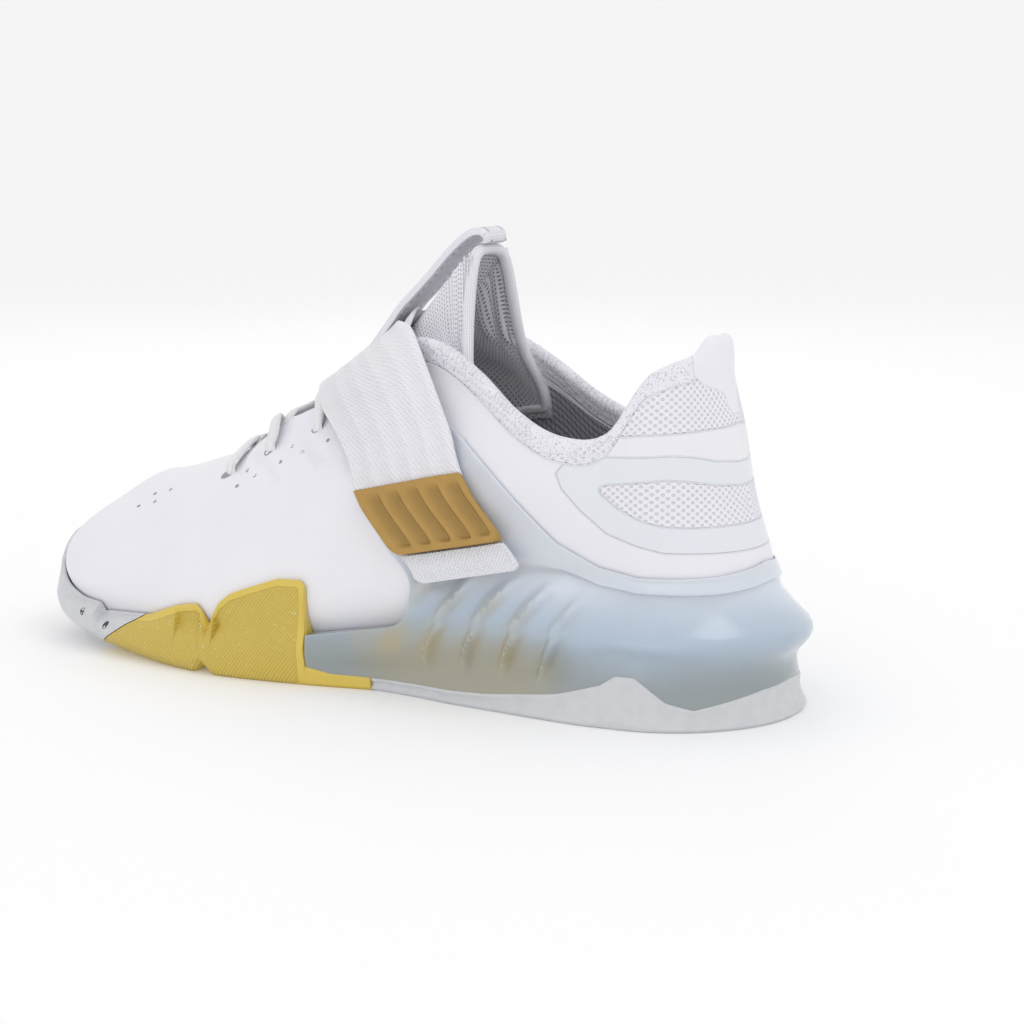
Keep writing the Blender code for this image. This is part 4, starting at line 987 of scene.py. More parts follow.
def makeUpper():
    places = np.concatenate([np.linspace(0, 2, 44), [placeAlong(a) for a in np.linspace(0, 1, 146)][1:],
                             np.linspace(14, 16, 44)[1:]])
    rays = [(lateral, k) for k in places] + [(medial, k) for k in places[::-1][1:-1]]
    made = [upperRay(side, float(k)) for side, k in rays]
    points = np.array([ray[0] for ray in made])
    count = points.shape[1]
    charts = np.array([ray[1] for ray in made])
    pad = count - outerCount
    filler = np.repeat(charts[:, -1:], pad, 1)
    chart = np.concatenate([charts, filler], 1)
    fromEdge = np.array([ray[2] for ray in made])
    fromEdge[np.array([ray[4] for ray in made])] = 99
    inner = np.zeros((len(rays), count))
    inner[:, outerCount + capCount :] = 1
    throat = np.array([[smooth((k - 7.4) / 0.8)] * count for _, k in rays])
    marks = {
        "film": edgeDistance(chart, filmOutline),
        "window": edgeDistance(chart, windowOutline),
        "collar": edgeDistance(chart, collarSeam),
        "tab": edgeDistance(chart, heelTab),
        "fromEdge": fromEdge,
        "throat": throat,
        "inner": inner * (fromEdge > 5),
    }
    up = np.array([ray[3] for ray in made])
    flat = np.stack([chart[..., 0], up], -1)
    shut = np.array([ray[4] for ray in made])
    keep = np.ones((len(rays), count - 1), bool)
    both = shut & np.roll(shut, -1)
    keep[both, outerCount - 1 : outerCount + capCount] = False
    finish = upperMaterial()
    shell = gridObject("upper_shell", points, finish, loopRows=True, marks=marks, flat=flat, keep=keep)
    shell.data.materials.append(liningMaterial())
    shade(shell, "inner", 1)
    return placed(shell, "upper", "upper")


# Sole
soleLook = {
    "ribPitch": 14.5 * mm,
    # Height, shift along, slant, half width, height of the rib and depth of the hollow
    "ribRows": [
        (20 * mm, 3 * mm, 0.45, 1.5 * mm, 4.2 * mm, 1.6 * mm),
        (34 * mm, 9 * mm, 0.75, 2.2 * mm, 3.6 * mm, 1.2 * mm),
    ],
    # top, middle and low: colours of the clear sole from its top down to the floor, whose change is painted light
    # and shade
    "top": "#D5DDE9", "middle": "#ACBCCB", "low": "#939C9E", "glow": "#B3A478",
    "rubber": "#D0D1D4", "rubberCloud": "#CBCDD0",
    "gold": "#DBC056", "goldSpeck": "#E3D48C", "goldLine": "#A8923A",
}


def midsoleMaterial():
    # Clear TPU: light spreads under a glossy skin, so the sole looks icy; its colour runs from a pale top to a
    # darker bottom, which is painted light and shade
    look = soleLook
    made, tree, shader = newMaterial("clear ice-blue TPU")
    place = addNode(tree, "ShaderNodeSeparateXYZ", {0: objectPlace(tree)}).outputs
    # Painted light and shade: the colour is paler at the top and darker towards the floor
    height = mathOf(tree, "ADD", place[2], mathOf(tree, "MULTIPLY", noise(tree, 0.03), 0.006))
    colour = mixed(tree, ramp(tree, height, 0.028, 0.050), linear(look["middle"]), linear(look["top"]))
    colour = mixed(tree, ramp(tree, height, 0.034, 0.014), colour, linear(look["low"]))
    arch = mathOf(tree, "MULTIPLY", ramp(tree, place[0], 0.012, 0.035), ramp(tree, place[0], 0.105, 0.085))
    under = mathOf(tree, "MULTIPLY", arch, ramp(tree, place[2], 0.032, 0.016, 0.0, 0.45))
    colour = mixed(tree, under, colour, linear(soleLook["glow"]))
    low, high = soleLook["ribRows"]
    for (rowUp, shift, slant, *_), part in ((low, 0.6), (high, 0.4)):
        rise = mathOf(tree, "MULTIPLY", mathOf(tree, "SUBTRACT", place[2], rowUp), slant)
        at = mathOf(tree, "ADD", mathOf(tree, "ADD", place[0], rise), shift - soleLook["ribPitch"] / 4)
        hollows = ramp(tree, wave(tree, at, soleLook["ribPitch"]), 1.0, -1.0)
        inRow = ramp(tree, mathOf(tree, "ABSOLUTE", mathOf(tree, "SUBTRACT", place[2], rowUp)), 0.010, 0.001)
        patch = mathOf(tree, "MULTIPLY", mathOf(tree, "MULTIPLY", hollows, inRow), arch)
        patch = mathOf(tree, "MULTIPLY", patch, ramp(tree, noise(tree, 0.02), 0.25, 0.6))
        colour = mixed(tree, mathOf(tree, "MULTIPLY", patch, part), colour, linear(soleLook["glow"]))
    tree.links.new(colour, shader.inputs["Base Color"])
    shader.inputs["Roughness"].default_value = 0.3
    shader.inputs["Subsurface Weight"].default_value = 0.35
    shader.inputs["Subsurface Radius"].default_value = (0.6, 0.8, 1.0)
    shader.inputs["Subsurface Scale"].default_value = 0.006
    shader.inputs["Coat Weight"].default_value = 0.7
    shader.inputs["Coat Roughness"].default_value = 0.1
    bumped(tree, shader, [(noise(tree, 0.012, 1.0), 0.0004), (noise(tree, 0.0009), 0.00002)])
    return made


def rubberMaterial():
    # Pale rubber: half matt, with a fine grain that breaks up the highlight
    look = soleLook
    made, tree, shader = newMaterial("pale grey rubber")
    cloud = ramp(tree, noise(tree, 0.004), 0.35, 0.65)
    colour = mixed(tree, cloud, linear(look["rubber"]), linear(look["rubberCloud"]))
    tree.links.new(colour, shader.inputs["Base Color"])
    shader.inputs["Roughness"].default_value = 0.5
    shader.inputs["Coat Weight"].default_value = 0.05
    bumped(tree, shader, [(noise(tree, 0.0008), 0.00004)])
    return made


def goldRubberMaterial():
    # Mustard rubber: fine slanting lines and paler specks inside a plain rim
    look = soleLook
    made, tree, shader = newMaterial("mustard rubber")
    place = addNode(tree, "ShaderNodeSeparateXYZ", {0: objectPlace(tree)}).outputs
    rim = mark(tree, "rim")
    slant = mathOf(tree, "ADD", place[0], mathOf(tree, "MULTIPLY", place[2], 0.8))
    lines = ramp(tree, wave(tree, slant, 0.0013), -0.4, 0.6)
    field = ramp(tree, rim, 1.9, 2.3)
    speck = ramp(tree, noise(tree, 0.0011, 0.0), 0.72, 0.8)
    speck = mathOf(tree, "MULTIPLY", speck, field)
    colour = mixed(tree, speck, linear(look["gold"]), linear(look["goldSpeck"]))
    shadedLines = mathOf(tree, "MULTIPLY", mathOf(tree, "MULTIPLY", lines, field), 0.3)
    colour = mixed(tree, shadedLines, colour, linear(look["goldLine"]))
    tree.links.new(colour, shader.inputs["Base Color"])
    shader.inputs["Roughness"].default_value = 0.42
    shader.inputs["Coat Weight"].default_value = 0.1
    step = mathOf(tree, "SUBTRACT", 1.0, field)
    bumped(tree, shader, [(mathOf(tree, "MULTIPLY", lines, field), 0.00025), (step, 0.0004),
                          (noise(tree, 0.0006), 0.00004)])
    return made


def roundedRim(outer, inner):
    # Points over the top of a wall from its outer to its inner face
    outer, inner = np.asarray(outer, float), np.asarray(inner, float)
    arm = (outer - inner) / 2
    rise = np.array([-arm[1], arm[0]])
    if rise[1] < 0:
        rise = -rise
    turn = np.linspace(0, math.pi, 7)[1:-1, None]
    return (outer + inner) / 2 + arm * np.cos(turn) + 0.7 * rise * np.sin(turn)


def midsoleDense(side, k):
    _, lipPoint, waist, ledge = soleSide(side, k)
    rim = cupRim(side, k)
    inside = cupInside(side, k, rim, 14)
    rimOut = inside[-1] + normals(inside)[-1] * cupWall * 0.35
    low = ledge[1]
    knots = [(lipPoint[0] - gap, lipHeight(side, k) + gap), waist, ledge]
    if rim - low > flareLeast:
        face = pushed(profile(side, k)[0], cupClear + 0.6 * cupWall)
        flare = low + 0.62 * min(rim - low, flareHeight)
        knots.extend(pointAtHeight(face, between(flare, rim, share)) for share in (0, 1 / 3, 2 / 3))
    else:
        knots.extend(between(ledge, rimOut, share) for share in (1 / 4, 1 / 2, 3 / 4))
    knots.append(rimOut)
    sidePoints = np.array([curveAt(knots, i / 8) for i in range(8 * (len(knots) - 1) + 1)])
    x = place(side, k, 0, 0)[0]
    for point in sidePoints[4:-4]:
        # The spur's ridge and the hollow under it
        fade = 1 - smooth((x + 5 * mm) / (45 * mm)) if k > 2 else 1.0
        point[0] += fade * (1.6 * mm * math.exp(-(((point[1] - 42 * mm) / (3.0 * mm)) ** 2)))
        point[0] -= fade * (3.2 * mm * math.exp(-(((point[1] - 32 * mm) / (6 * mm)) ** 2)))
    for i, point in enumerate(sidePoints[1:34], 1):
        fade = smooth(i / 3) * smooth((34 - i) / 8)
        point[0] += fade * archRib(x, point[1])
    stepIn = lipPoint[0] - lipWidth - gap
    bottom = floorPoints(side, k, stepIn, 4, lambda x: tread(x) + treadThickness + gap)
    floor = floorPoints(side, k, inside[0][0], 4, lambda x: footbed(x) - gap)[::-1]
    chain = [*bottom, (stepIn, lipHeight(side, k) + gap), *sidePoints, *roundedRim(rimOut, inside[-1]),
             *inside[::-1], *floor]
    return [place(side, k, *point) for point in chain]


def archRib(x, z):
    # Two rows of thin curved ribs with hollows between them, the upper row running out into streaks
    start, end = spine(0.06)[0], spine(0.40)[0]
    inArch = smooth((x - start) / (8 * mm)) * smooth((end - x) / (14 * mm))
    whole = 0.0
    for rowUp, shift, slant, thinness, most, hollow in soleLook["ribRows"]:
        rise = (z - rowUp) / (7 * mm)
        at = (x + shift + slant * (z - rowUp) + 0.9 * mm * rise**2) / soleLook["ribPitch"]
        near = abs(at - round(at)) * soleLook["ribPitch"]
        ridge = math.exp(-((near / thinness) ** 2)) * most - hollow
        whole += ridge * math.exp(-abs(rise) ** 3)
    return inArch * whole


def raysOf(lateralPlaces, medialPlaces):
    return [(lateral, float(k)) for k in lateralPlaces[::-1]] + [(medial, float(k)) for k in medialPlaces[1:]]


def cappedGrid(name, points, finish, marks=None, flat=None, loopColumns=True):
    made = gridObject(name, points, finish, loopColumns=loopColumns, marks=marks, flat=flat)
    build = bmesh.new()
    build.from_mesh(made.data)
    borders = [edge for edge in build.edges if edge.is_boundary]
    bmesh.ops.holes_fill(build, edges=borders, sides=0)
    bmesh.ops.recalc_face_normals(build, faces=build.faces)
    build.to_mesh(made.data)
    build.free()
    return made


def makeMidsole():
    end = waistEnd - 2 * joint
    along = [placeAlong(a) for a in np.linspace(0, alongAt(end), 110)][1:]
    places = np.concatenate([np.linspace(0, 2, 60), along])
    points = [midsoleDense(side, k) for side, k in raysOf(places, places)]
    body = cappedGrid("midsole_body", points, midsoleMaterial(), loopColumns=False)
    edge = [(spine(a)[0], up * collarHeight) for a, up in wingEdge]
    edge = [tuple(p) for p in denser(edge[1:-1], 40)]
    edge = [(spine(wingEdge[0][0])[0], wingEdge[0][1] * collarHeight), *edge,
            (spine(wingEdge[-1][0])[0], wingEdge[-1][1] * collarHeight)]
    front = spine(0.7)[0]
    outline = [*edge, (front, edge[-1][1]), (front, edge[0][1])]
    sides = (0.1 * ballHalfWidth, 1.5 * ballHalfWidth)
    rings = np.array([[(x, y, z) for x, z in outline] for y in sides])
    cutter = cappedGrid("wing_cutter", rings, None)
    cut = body.modifiers.new("wing edge", "BOOLEAN")
    cut.operation = "DIFFERENCE"
    cut.object = cutter
    whole = bpy.data.meshes.new_from_object(body.evaluated_get(bpy.context.evaluated_depsgraph_get()))
    if len(whole.polygons) < 1000:
        cut.solver = "FAST"
        whole = bpy.data.meshes.new_from_object(body.evaluated_get(bpy.context.evaluated_depsgraph_get()))
    body.modifiers.clear()
    body.data = whole
    whole.set_sharp_from_angle(angle=math.radians(50))
    bpy.data.objects.remove(cutter)
    return placed(body, "midsole", "midsole")


def makeHeelTread():
    along = [placeAlong(a) for a in np.linspace(0, alongAt(treadSplit), 90)][1:]
    places = np.concatenate([np.linspace(0, 2, 60), along])

    def ray(side, k):
        bottom, outer, inner, floor = trayRay(side, k)
        bulge = np.array([(0.9 * mm * math.sin(math.pi * s), 0) for s in np.linspace(0, 1, 10)])
        face = np.linspace(outer[0], outer[1], 10) - bulge
        top = roundedRim(outer[1], inner[0])
        chain = [*bottom, (bottom[-1][0] + 0.6 * treadBevel, bottom[-1][1] + 0.25 * treadBevel), *face, *top,
                 *inner, *floor]
        return [place(side, k, *point) for point in chain]

    points = [ray(side, k) for side, k in raysOf(places, places)]
    made = cappedGrid("heel_tread", points, rubberMaterial(), loopColumns=False)
    return placed(made, "grey_rubber", "outsole_heel")


def frontDense(side, k):
    if k < waistEnd:
        bottom, outer, inner, floor = trayRay(side, k)
        outer = np.linspace(outer[0], outer[1], 22)
        innerPoints = np.linspace(inner[0], floor[0], 13)[:-1]
        chain = [*bottom, *outer, *roundedRim(outer[-1], innerPoints[0]), *innerPoints, *floor]
        return [place(side, k, *point) for point in chain], np.full(len(chain), 0.0)
    ground, lipPoint, waist, ledge = soleSide(side, k)
    if k <= 14:
        rim = tableAt(lobesLateral if side == lateral else lobesMedial, k) * wingHeight
    else:
        rim = tableAt(bumper, k) * bumperHeight
    inside = cupInside(side, k, rim, 12)
    rimOut = inside[-1] + normals(inside)[-1] * cupWall
    low = np.array([ground[0], ground[1] + treadBevel])
    knots = [low]
    for knot in (lipPoint, waist, ledge):
        if knot[1] < rim - 2 * mm:
            knots.append(knot)
    if rim > ledge[1] + 10 * mm:
        face = pushed(profile(side, k)[0], cupClear + cupWall)
        knots.append(pointAtHeight(face, (rim + ledge[1]) / 2))
    knots.append(rimOut)
    outer = np.array([curveAt(knots, (len(knots) - 1) * i / 21) for i in range(22)])
    bottom = floorPoints(side, k, ground[0] - treadBevel, 2, tread)
    floor = floorPoints(side, k, inside[0][0], 2, lambda x: footbed(x) - gap)[::-1]
    chain = [*bottom, *outer, *roundedRim(rimOut, inside[-1]), *inside[::-1], *floor]
    fromRim = np.zeros(len(chain))
    run = lengths(outer)
    fromRim[2:24] = (run[-1] - run) * 1000
    return [place(side, k, *point) for point in chain], fromRim


def makeFrontTread():
    start = treadSplit + joint
    under = [start, 8.5, 8.95, 9.25, waistEnd - joint]
    lobes = np.concatenate([[waistEnd], np.linspace(9.43, 9.6, 8), np.linspace(9.65, 10.8, 40),
                            np.linspace(10.82, 11.7, 66), np.linspace(11.75, 14, 60)])
    fan = np.linspace(14, 16, 60)[1:]
    places = np.concatenate([under, lobes, fan])
    rays = [(lateral, float(k)) for k in places] + [(medial, float(k)) for k in places[::-1][1:]]
    made = [frontDense(side, k) for side, k in rays]
    points = np.array([ray[0] for ray in made])
    rimMarks = np.array([ray[1] for ray in made])
    sideRim = np.abs(points[..., 0] - (waistEdgeX() + 0.3 * mm)) * 1000
    rimMarks = np.minimum(rimMarks, sideRim)
    lean = math.radians(seamLean)
    across = Vector((math.cos(lean), 0, math.sin(lean)))
    centre = Vector((spine(seamAlong)[0], 0, seamUp * wingHeight))
    pieces = (("forefoot_tread", -1, goldRubberMaterial(), "mustard_rubber", "outsole_forefoot"),
              ("toe_bumper", 1, rubberMaterial(), "grey_rubber", "outsole_toe"))
    for name, keep, finish, slotName, node in pieces:
        part = cappedGrid(name, points, finish, marks={"rim": rimMarks}, loopColumns=False)
        build = bmesh.new()
        build.from_mesh(part.data)
        cut = bmesh.ops.bisect_plane(
            build,
            geom=[*build.verts, *build.edges, *build.faces],
            dist=1e-7,
            plane_co=centre + across * keep * gap / 2,
            plane_no=across,
            clear_outer=keep < 0,
            clear_inner=keep > 0,
        )
        edges = [item for item in cut["geom_cut"] if isinstance(item, bmesh.types.BMEdge)]
        bmesh.ops.holes_fill(build, edges=edges, sides=0)
        build.to_mesh(part.data)
        build.free()
        part.data.set_sharp_from_angle(angle=math.radians(50))
        placed(part, slotName, node)
    return part


def waistEdgeX():
    return spine(alongAt(waistEnd))[0]


insoleLook = {"cloth": "#8E8C93", "fleck": "#A3A1A8"}


def makeInsole():
    places = np.concatenate([np.linspace(0, 2, 24), np.linspace(2, 14, 80)[1:], np.linspace(14, 16, 24)[1:]])

    def ray(side, k):
        reach = profile(side, k)[0][0][0] - wall - 2 * gap
        low = floorPoints(side, k, reach, 6, footbed)
        high = floorPoints(side, k, reach - 0.8 * mm, 8, lambda x: footbed(x) + insoleThickness)[::-1]
        shoulder = (reach, low[-1][1] + 0.8 * insoleThickness)
        return [place(side, k, *point) for point in [*low, shoulder, *high]]

    rays = [(lateral, float(k)) for k in places] + [(medial, float(k)) for k in places[::-1][1:-1]]
    # Brushed sock cloth: mottled and without shine
    made, tree, shader = newMaterial("grey sock cloth")
    colour = mixed(tree, noise(tree, 0.0015), linear(insoleLook["cloth"]), linear(insoleLook["fleck"]))
    tree.links.new(colour, shader.inputs["Base Color"])
    shader.inputs["Roughness"].default_value = 0.95
    bumped(tree, shader, [(noise(tree, 0.0008), 0.0002)])
    sheet = gridObject("insole_sheet", [ray(*r) for r in rays], made, loopRows=True)
    return placed(sheet, "insole", "insole")


# Tongue: mesh face, grey inner face and padded edge
tongueLook = {
    "mesh": "#E9E8EE",
    "hole": "#B4B2BC",
    "piping": "#F0EFF4",
    "pipingDot": "#C9C8D0",
    "inside": "#D2D0D6",
    "insideDot": "#8F8D95",
    "holePitch": 3.1,  # mm
    "insidePitch": 1.5,  # mm
    "pipingRadius": 2.0 * mm,
}


def clothMaterial(name, colour, dotColour, pitch, depth=0.0004, slant=1.0, low=0.35, high=0.7):
    # Cloth with dots in slanting rows, lowered by depth
    made, tree, shader = newMaterial(name)
    along, up, _ = flatPlace(tree)
    slantUp = mathOf(tree, "MULTIPLY", up, slant)
    rise = mathOf(tree, "MULTIPLY", wave(tree, mathOf(tree, "ADD", along, slantUp), 2 * pitch),
                  wave(tree, mathOf(tree, "SUBTRACT", along, slantUp), 2 * pitch))
    dot = ramp(tree, rise, low, high)
    base = mixed(tree, dot, linear(colour), linear(dotColour))
    tree.links.new(base, shader.inputs["Base Color"])
    shader.inputs["Roughness"].default_value = 0.85
    fuzz = noise(tree, 0.0006, 2.0)
    bumped(tree, shader, [(mathOf(tree, "SUBTRACT", 1.0, dot), depth), (fuzz, 0.00012)])
    return made


def makeTongue():
    coarseShares = np.linspace(-1, 1, 17)
    ways = np.linspace(0, 1, 33)
    rows = [curveAt(tongueRows, way * (len(tongueRows) - 1)) for way in ways]
    top = np.array([[tongueTop(row, share) for share in coarseShares] for row in rows])
    top = denser(top, 121)
    top = denser(top.swapaxes(0, 1), 61).swapaxes(0, 1)
    for i in range(96, 121):
        # The top is an arch
        scale = math.sqrt(1 - (0.93 * (i - 96) / 24) ** 2)
        places = 30 + (np.arange(61) - 30) * scale
        top[i] = np.stack([np.interp(places, range(61), top[i, :, axis]) for axis in range(3)], -1)
    shares = np.linspace(-1, 1, 61)
    way = np.linspace(0, 1, 121)
    out = np.cross(np.gradient(top, axis=1), np.gradient(top, axis=0))
    out /= np.linalg.norm(out, axis=2)[..., None]
    out *= np.sign(out[..., 2].mean())
    for _ in range(12):
        out[1:-1] = (out[:-2] + 2 * out[1:-1] + out[2:]) / 4
        out[:, 1:-1] = (out[:, :-2] + 2 * out[:, 1:-1] + out[:, 2:]) / 4
    out /= np.linalg.norm(out, axis=2)[..., None]
    thin = 1 - 0.85 * np.array([smooth((w - 0.6) / 0.4) for w in way])
    thick = tongueThickness * thin[:, None] * (1 - 0.6 * np.abs(shares) ** 4)
    below = top - out * thick[..., None]
    body = np.concatenate([top, below[:, ::-1]], 1)
    runs = np.concatenate([[0], np.cumsum(np.linalg.norm(np.diff(top[:, 30], axis=0), axis=1))]) * 1000
    stepAcross = np.linalg.norm(np.diff(top, axis=1), axis=2)
    across = np.concatenate([np.zeros((121, 1)), np.cumsum(stepAcross, 1)], 1) * 1000
    across -= across[:, 30:31]
    flat = np.stack([np.repeat(runs[:, None], 61, 1), across], -1)
    flat = np.concatenate([flat, flat[:, ::-1]], 1)
    inner = np.concatenate([np.zeros((121, 61)), np.ones((121, 61))], 1)
    look = tongueLook
    face = clothMaterial("white tongue mesh", look["mesh"], look["hole"], look["holePitch"] / 2, low=0.45, high=0.8)
    liner = clothMaterial("grey tongue lining", look["inside"], look["insideDot"], look["insidePitch"])
    made = cappedGrid("tongue_body", body, face, marks={"inner": inner}, flat=flat)
    made.data.materials.append(liner)
    shade(made, "inner", 1)
    placed(made, "tongue_mesh", "tongue")
    # Padded edge: up one side, over the top and down the other
    first = 24
    centre = top - out * thick[..., None] * 0.5
    sideway = [centre[i, 1] for i in range(first, 119, 3)]
    over = [centre[119, j] for j in range(6, 55, 6)]
    back = [centre[i, 59] for i in range(118, first - 1, -3)]
    line = denser([*sideway, *over, *back], 260)
    for _ in range(24):
        line[1:-1] = (line[:-2] + 2 * line[1:-1] + line[2:]) / 4
    fade = np.array([smooth(min(i, 259 - i) / 40) for i in range(260)])
    piping = clothMaterial("white piping cloth", look["piping"], look["pipingDot"], 0.7, depth=0.0002)
    edge = tube("tongue_edge", line, look["pipingRadius"] * (0.35 + 0.65 * fade), piping, sides=14)
    placed(edge, "tongue_mesh")


def shade(made, markName, materialIndex, above=0.5):
    # Gives faces whose mark is above this the material of this number
    count = len(made.data.vertices)
    values = np.empty(count, np.float32)
    made.data.attributes[markName].data.foreach_get("value", values)
    for face in made.data.polygons:
        if sum(values[v] for v in face.vertices) / len(face.vertices) > above:
            face.material_index = materialIndex


def webbingMaterial(name, colour, line, pitch, slant=1.0, depth=0.00025, share=0.5, grooveShade=0.0):
    # Woven band with slanting lines, and painted shade in the channels where its rib mark is high
    made, tree, shader = newMaterial(name)
    along, across, _ = flatPlace(tree)
    slantLine = wave(tree, mathOf(tree, "ADD", along, mathOf(tree, "MULTIPLY", across, slant)), pitch)
    weave = mathOf(tree, "MULTIPLY", wave(tree, along, 0.55), wave(tree, across, 0.55))
    groove = ramp(tree, slantLine, 0.2, 0.95)
    base = mixed(tree, mathOf(tree, "MULTIPLY", groove, share), linear(colour), linear(line))
    if grooveShade:
        base = mixed(tree, mathOf(tree, "MULTIPLY", mark(tree, "rib"), grooveShade), base, linear(line))
    tree.links.new(base, shader.inputs["Base Color"])
    shader.inputs["Roughness"].default_value = 0.6
    shader.inputs["Sheen Weight"].default_value = 0.15
    bumped(tree, shader, [(mathOf(tree, "SUBTRACT", 1.0, groove), depth), (weave, 0.00008)])
    return made


# Strap, its gold end, hook tip and ring
strapLook = {
    "webbing": "#FAF9FE",
    "line": "#C4C2CE",
    "gold": "#B8924C",
    "goldShade": "#AB8743",
    # channel: painted shade in the gold end's channels
    "channel": "#85692F",
    "tip": "#F2F3F8",
    "tipHook": "#CDCED6",
    "ring": "#C6A04A",
    "linePitch": 1.3,  # mm
    "corner": 3.5 * mm,
}


def sawtooth(shares):
    # Each channel drops at its rear edge and rises slowly to the next rib
    part = (np.asarray(shares) / 0.9 + 1) * (channels + 1) / 2 % 1
    depth = np.array([smooth(at / 0.12) * (1 - smooth((at - 0.3) / 0.7)) for at in part])
    return depth * (np.abs(shares) < 0.9)


def strapSurface(angles, shares, denseAngles, denseShares):
    # Underside of the strap and the way out of it, on a dense grid made from a coarse one
    layers = []
    for out in (0.0, mm):
        points = np.array([[strapPoint(a, s, out) for s in shares] for a in angles])
        points = np.array([curveAt(points, at) for at in np.interp(denseAngles, angles, range(len(angles)))])
        points = points.swapaxes(0, 1)
        points = np.array([curveAt(points, at) for at in np.interp(denseShares, shares, range(len(shares)))])
        layers.append(points.swapaxes(0, 1))
    low, high = layers
    return low, (high - low) / mm


def bandObject(name, low, out, thick, finish, roundEdge=0.8 * mm, ribs=None):
    # A band of this thickness (a grid) with rounded long edges
    columns = thick.shape[1]
    width = np.linalg.norm(np.diff(low, axis=1), axis=2).sum(1)
    across = np.linspace(-0.5, 0.5, columns)
    fromEdge = (0.5 - np.abs(across))[None, :] * width[:, None]
    edge = np.clip(1 - fromEdge / roundEdge, 0, 1)
    high = low + out * (thick * (0.35 + 0.65 * np.sqrt(1 - edge**2)))[..., None]
    run = np.concatenate([[0], np.cumsum(np.linalg.norm(np.diff(low[:, columns // 2], axis=0), axis=1))])
    flat = np.stack(np.broadcast_arrays(run[:, None] * 1000, across[None, :] * width[:, None] * 1000), -1)
    body = np.concatenate([high, low[:, ::-1]], 1)
    flat = np.concatenate([flat, flat[:, ::-1]], 1)
    marks = {}
    # rib: the channels' depth, where the materials paint shade
    if ribs is not None:
        marks["rib"] = np.concatenate([ribs, ribs[:, ::-1]], 1)
    return cappedGrid(name, body, finish, flat=flat, marks=marks)


def makeStrap():
    look = strapLook
    angles = [strapFrom, -60, -50, -41, -34, -28, -22, -15, -7, 0, 7, 15, 22, 28, 34, 41, 47, strapTo]
    dense = np.linspace(strapFrom, strapTo, 220)
    shares = np.linspace(-1, 1, 5)
    denseShares = np.linspace(-1, 1, 101)
    low, out = strapSurface(angles, shares, dense, denseShares)
    webbing = webbingMaterial(
        "white strap webbing", look["webbing"], look["line"], look["linePitch"],
        slant=0.8, depth=0.00005, share=0.12, grooveShade=0.12,
    )
    # Soft ribs along the band, plain along its edges
    ribRise = -0.2 * mm * sawtooth(denseShares)
    thick = strapThickness + np.broadcast_to(ribRise, (220, 101))
    # The rib mark holds the channels' depth; the webbing is painted darker there as shade in the channels
    ribs = np.repeat(sawtooth(denseShares)[None, :], 220, 0)
    band = bandObject("strap_band", low, out, thick, webbing, ribs=ribs)
    placed(band, "webbing", "strap")

    # Moulded plastic with a little metal flake: a broad soft sheen, and painted shade that darkens the channels
    gold, tree, shader = newMaterial("gold moulded plastic")
    colour = mixed(tree, noise(tree, 0.004), linear(look["gold"]), linear(look["goldShade"]))
    # Painted shade in the channels: darker colour where the rib mark is high
    colour = mixed(tree, mathOf(tree, "MULTIPLY", mark(tree, "rib"), 0.5), colour, linear(look["channel"]))
    tree.links.new(colour, shader.inputs["Base Color"])
    shader.inputs["Metallic"].default_value = 0.25
    shader.inputs["Roughness"].default_value = 0.4
    shader.inputs["Coat Weight"].default_value = 0.15
    bumped(tree, shader, [(noise(tree, 0.0005), 0.00003)])
    first, final = strapTo + strapJoint, endTo
    angles = [first, strapTo + 6, strapTo + 11, strapTo + 17, final]
    dense = np.linspace(first, final, 90)
    denseShares = np.linspace(-1, 1, 121)
    low, out = strapSurface(angles, shares, dense, denseShares)
    way = np.linspace(0, 1, 90)
    border = np.array([[smooth((0.93 - abs(s)) / 0.05) * smooth((w - 0.05) / 0.12) * smooth((0.93 - w) / 0.1)
                        for s in denseShares] for w in way])
    thick = strapEndThickness - 1.3 * channelDepth * border * sawtooth(denseShares)[None, :]
    low, out, thick = roundedEnd(low, out, thick, 0.16)
    ribs = border * sawtooth(denseShares)
    end = bandObject("strap_gold_end", low, out, thick, gold, roundEdge=1.0 * mm, ribs=ribs)
    placed(end, "gold_plastic", "strap_end")

    # Hook tape: rows of small bumps, each with its own glint
    tip, tree, shader = newMaterial("white hook tape")
    along, across, _ = flatPlace(tree)
    hooks = mathOf(tree, "MULTIPLY", wave(tree, along, 1.3), wave(tree, across, 1.3))
    colour = mixed(tree, ramp(tree, hooks, 0.1, 0.8, 0.0, 0.6), linear(look["tip"]), linear(look["tipHook"]))
    tree.links.new(colour, shader.inputs["Base Color"])
    shader.inputs["Roughness"].default_value = 0.5
    bumped(tree, shader, [(hooks, 0.0002)])
    angles = [endTo + strapJoint, 79, 82.5, tipTo]
    dense = np.linspace(angles[0], tipTo, 50)
    low, out = strapSurface(angles, np.linspace(-0.96, 0.94, 5), dense, np.linspace(-0.96, 0.94, 61))
    thick = np.full((50, 61), strapTipThickness)
    low, out, thick = roundedEnd(low, out, thick, 0.3)
    hookTip = bandObject("strap_hook_tip", low, out, thick, tip, roundEdge=0.6 * mm)
    placed(hookTip, "strap_tip", "strap_tip")


def roundedEnd(low, out, thick, part):
    # Rounds the far corners by drawing the last rows in
    rows, columns = thick.shape
    width = np.linalg.norm(low[-1, 0] - low[-1, -1])
    centre = (columns - 1) / 2
    made = low.copy()
    for i in range(rows):
        share = max(0.0, (i / (rows - 1) - (1 - part)) / part)
        inset = strapLook["corner"] * (1 - math.sqrt(max(0.0, 1 - share**2)))
        scale = 1 - 2 * inset / width
        at = centre + (np.arange(columns) - centre) * scale
        made[i] = np.stack([np.interp(at, range(columns), low[i, :, axis]) for axis in range(3)], -1)
    return made, out, thick


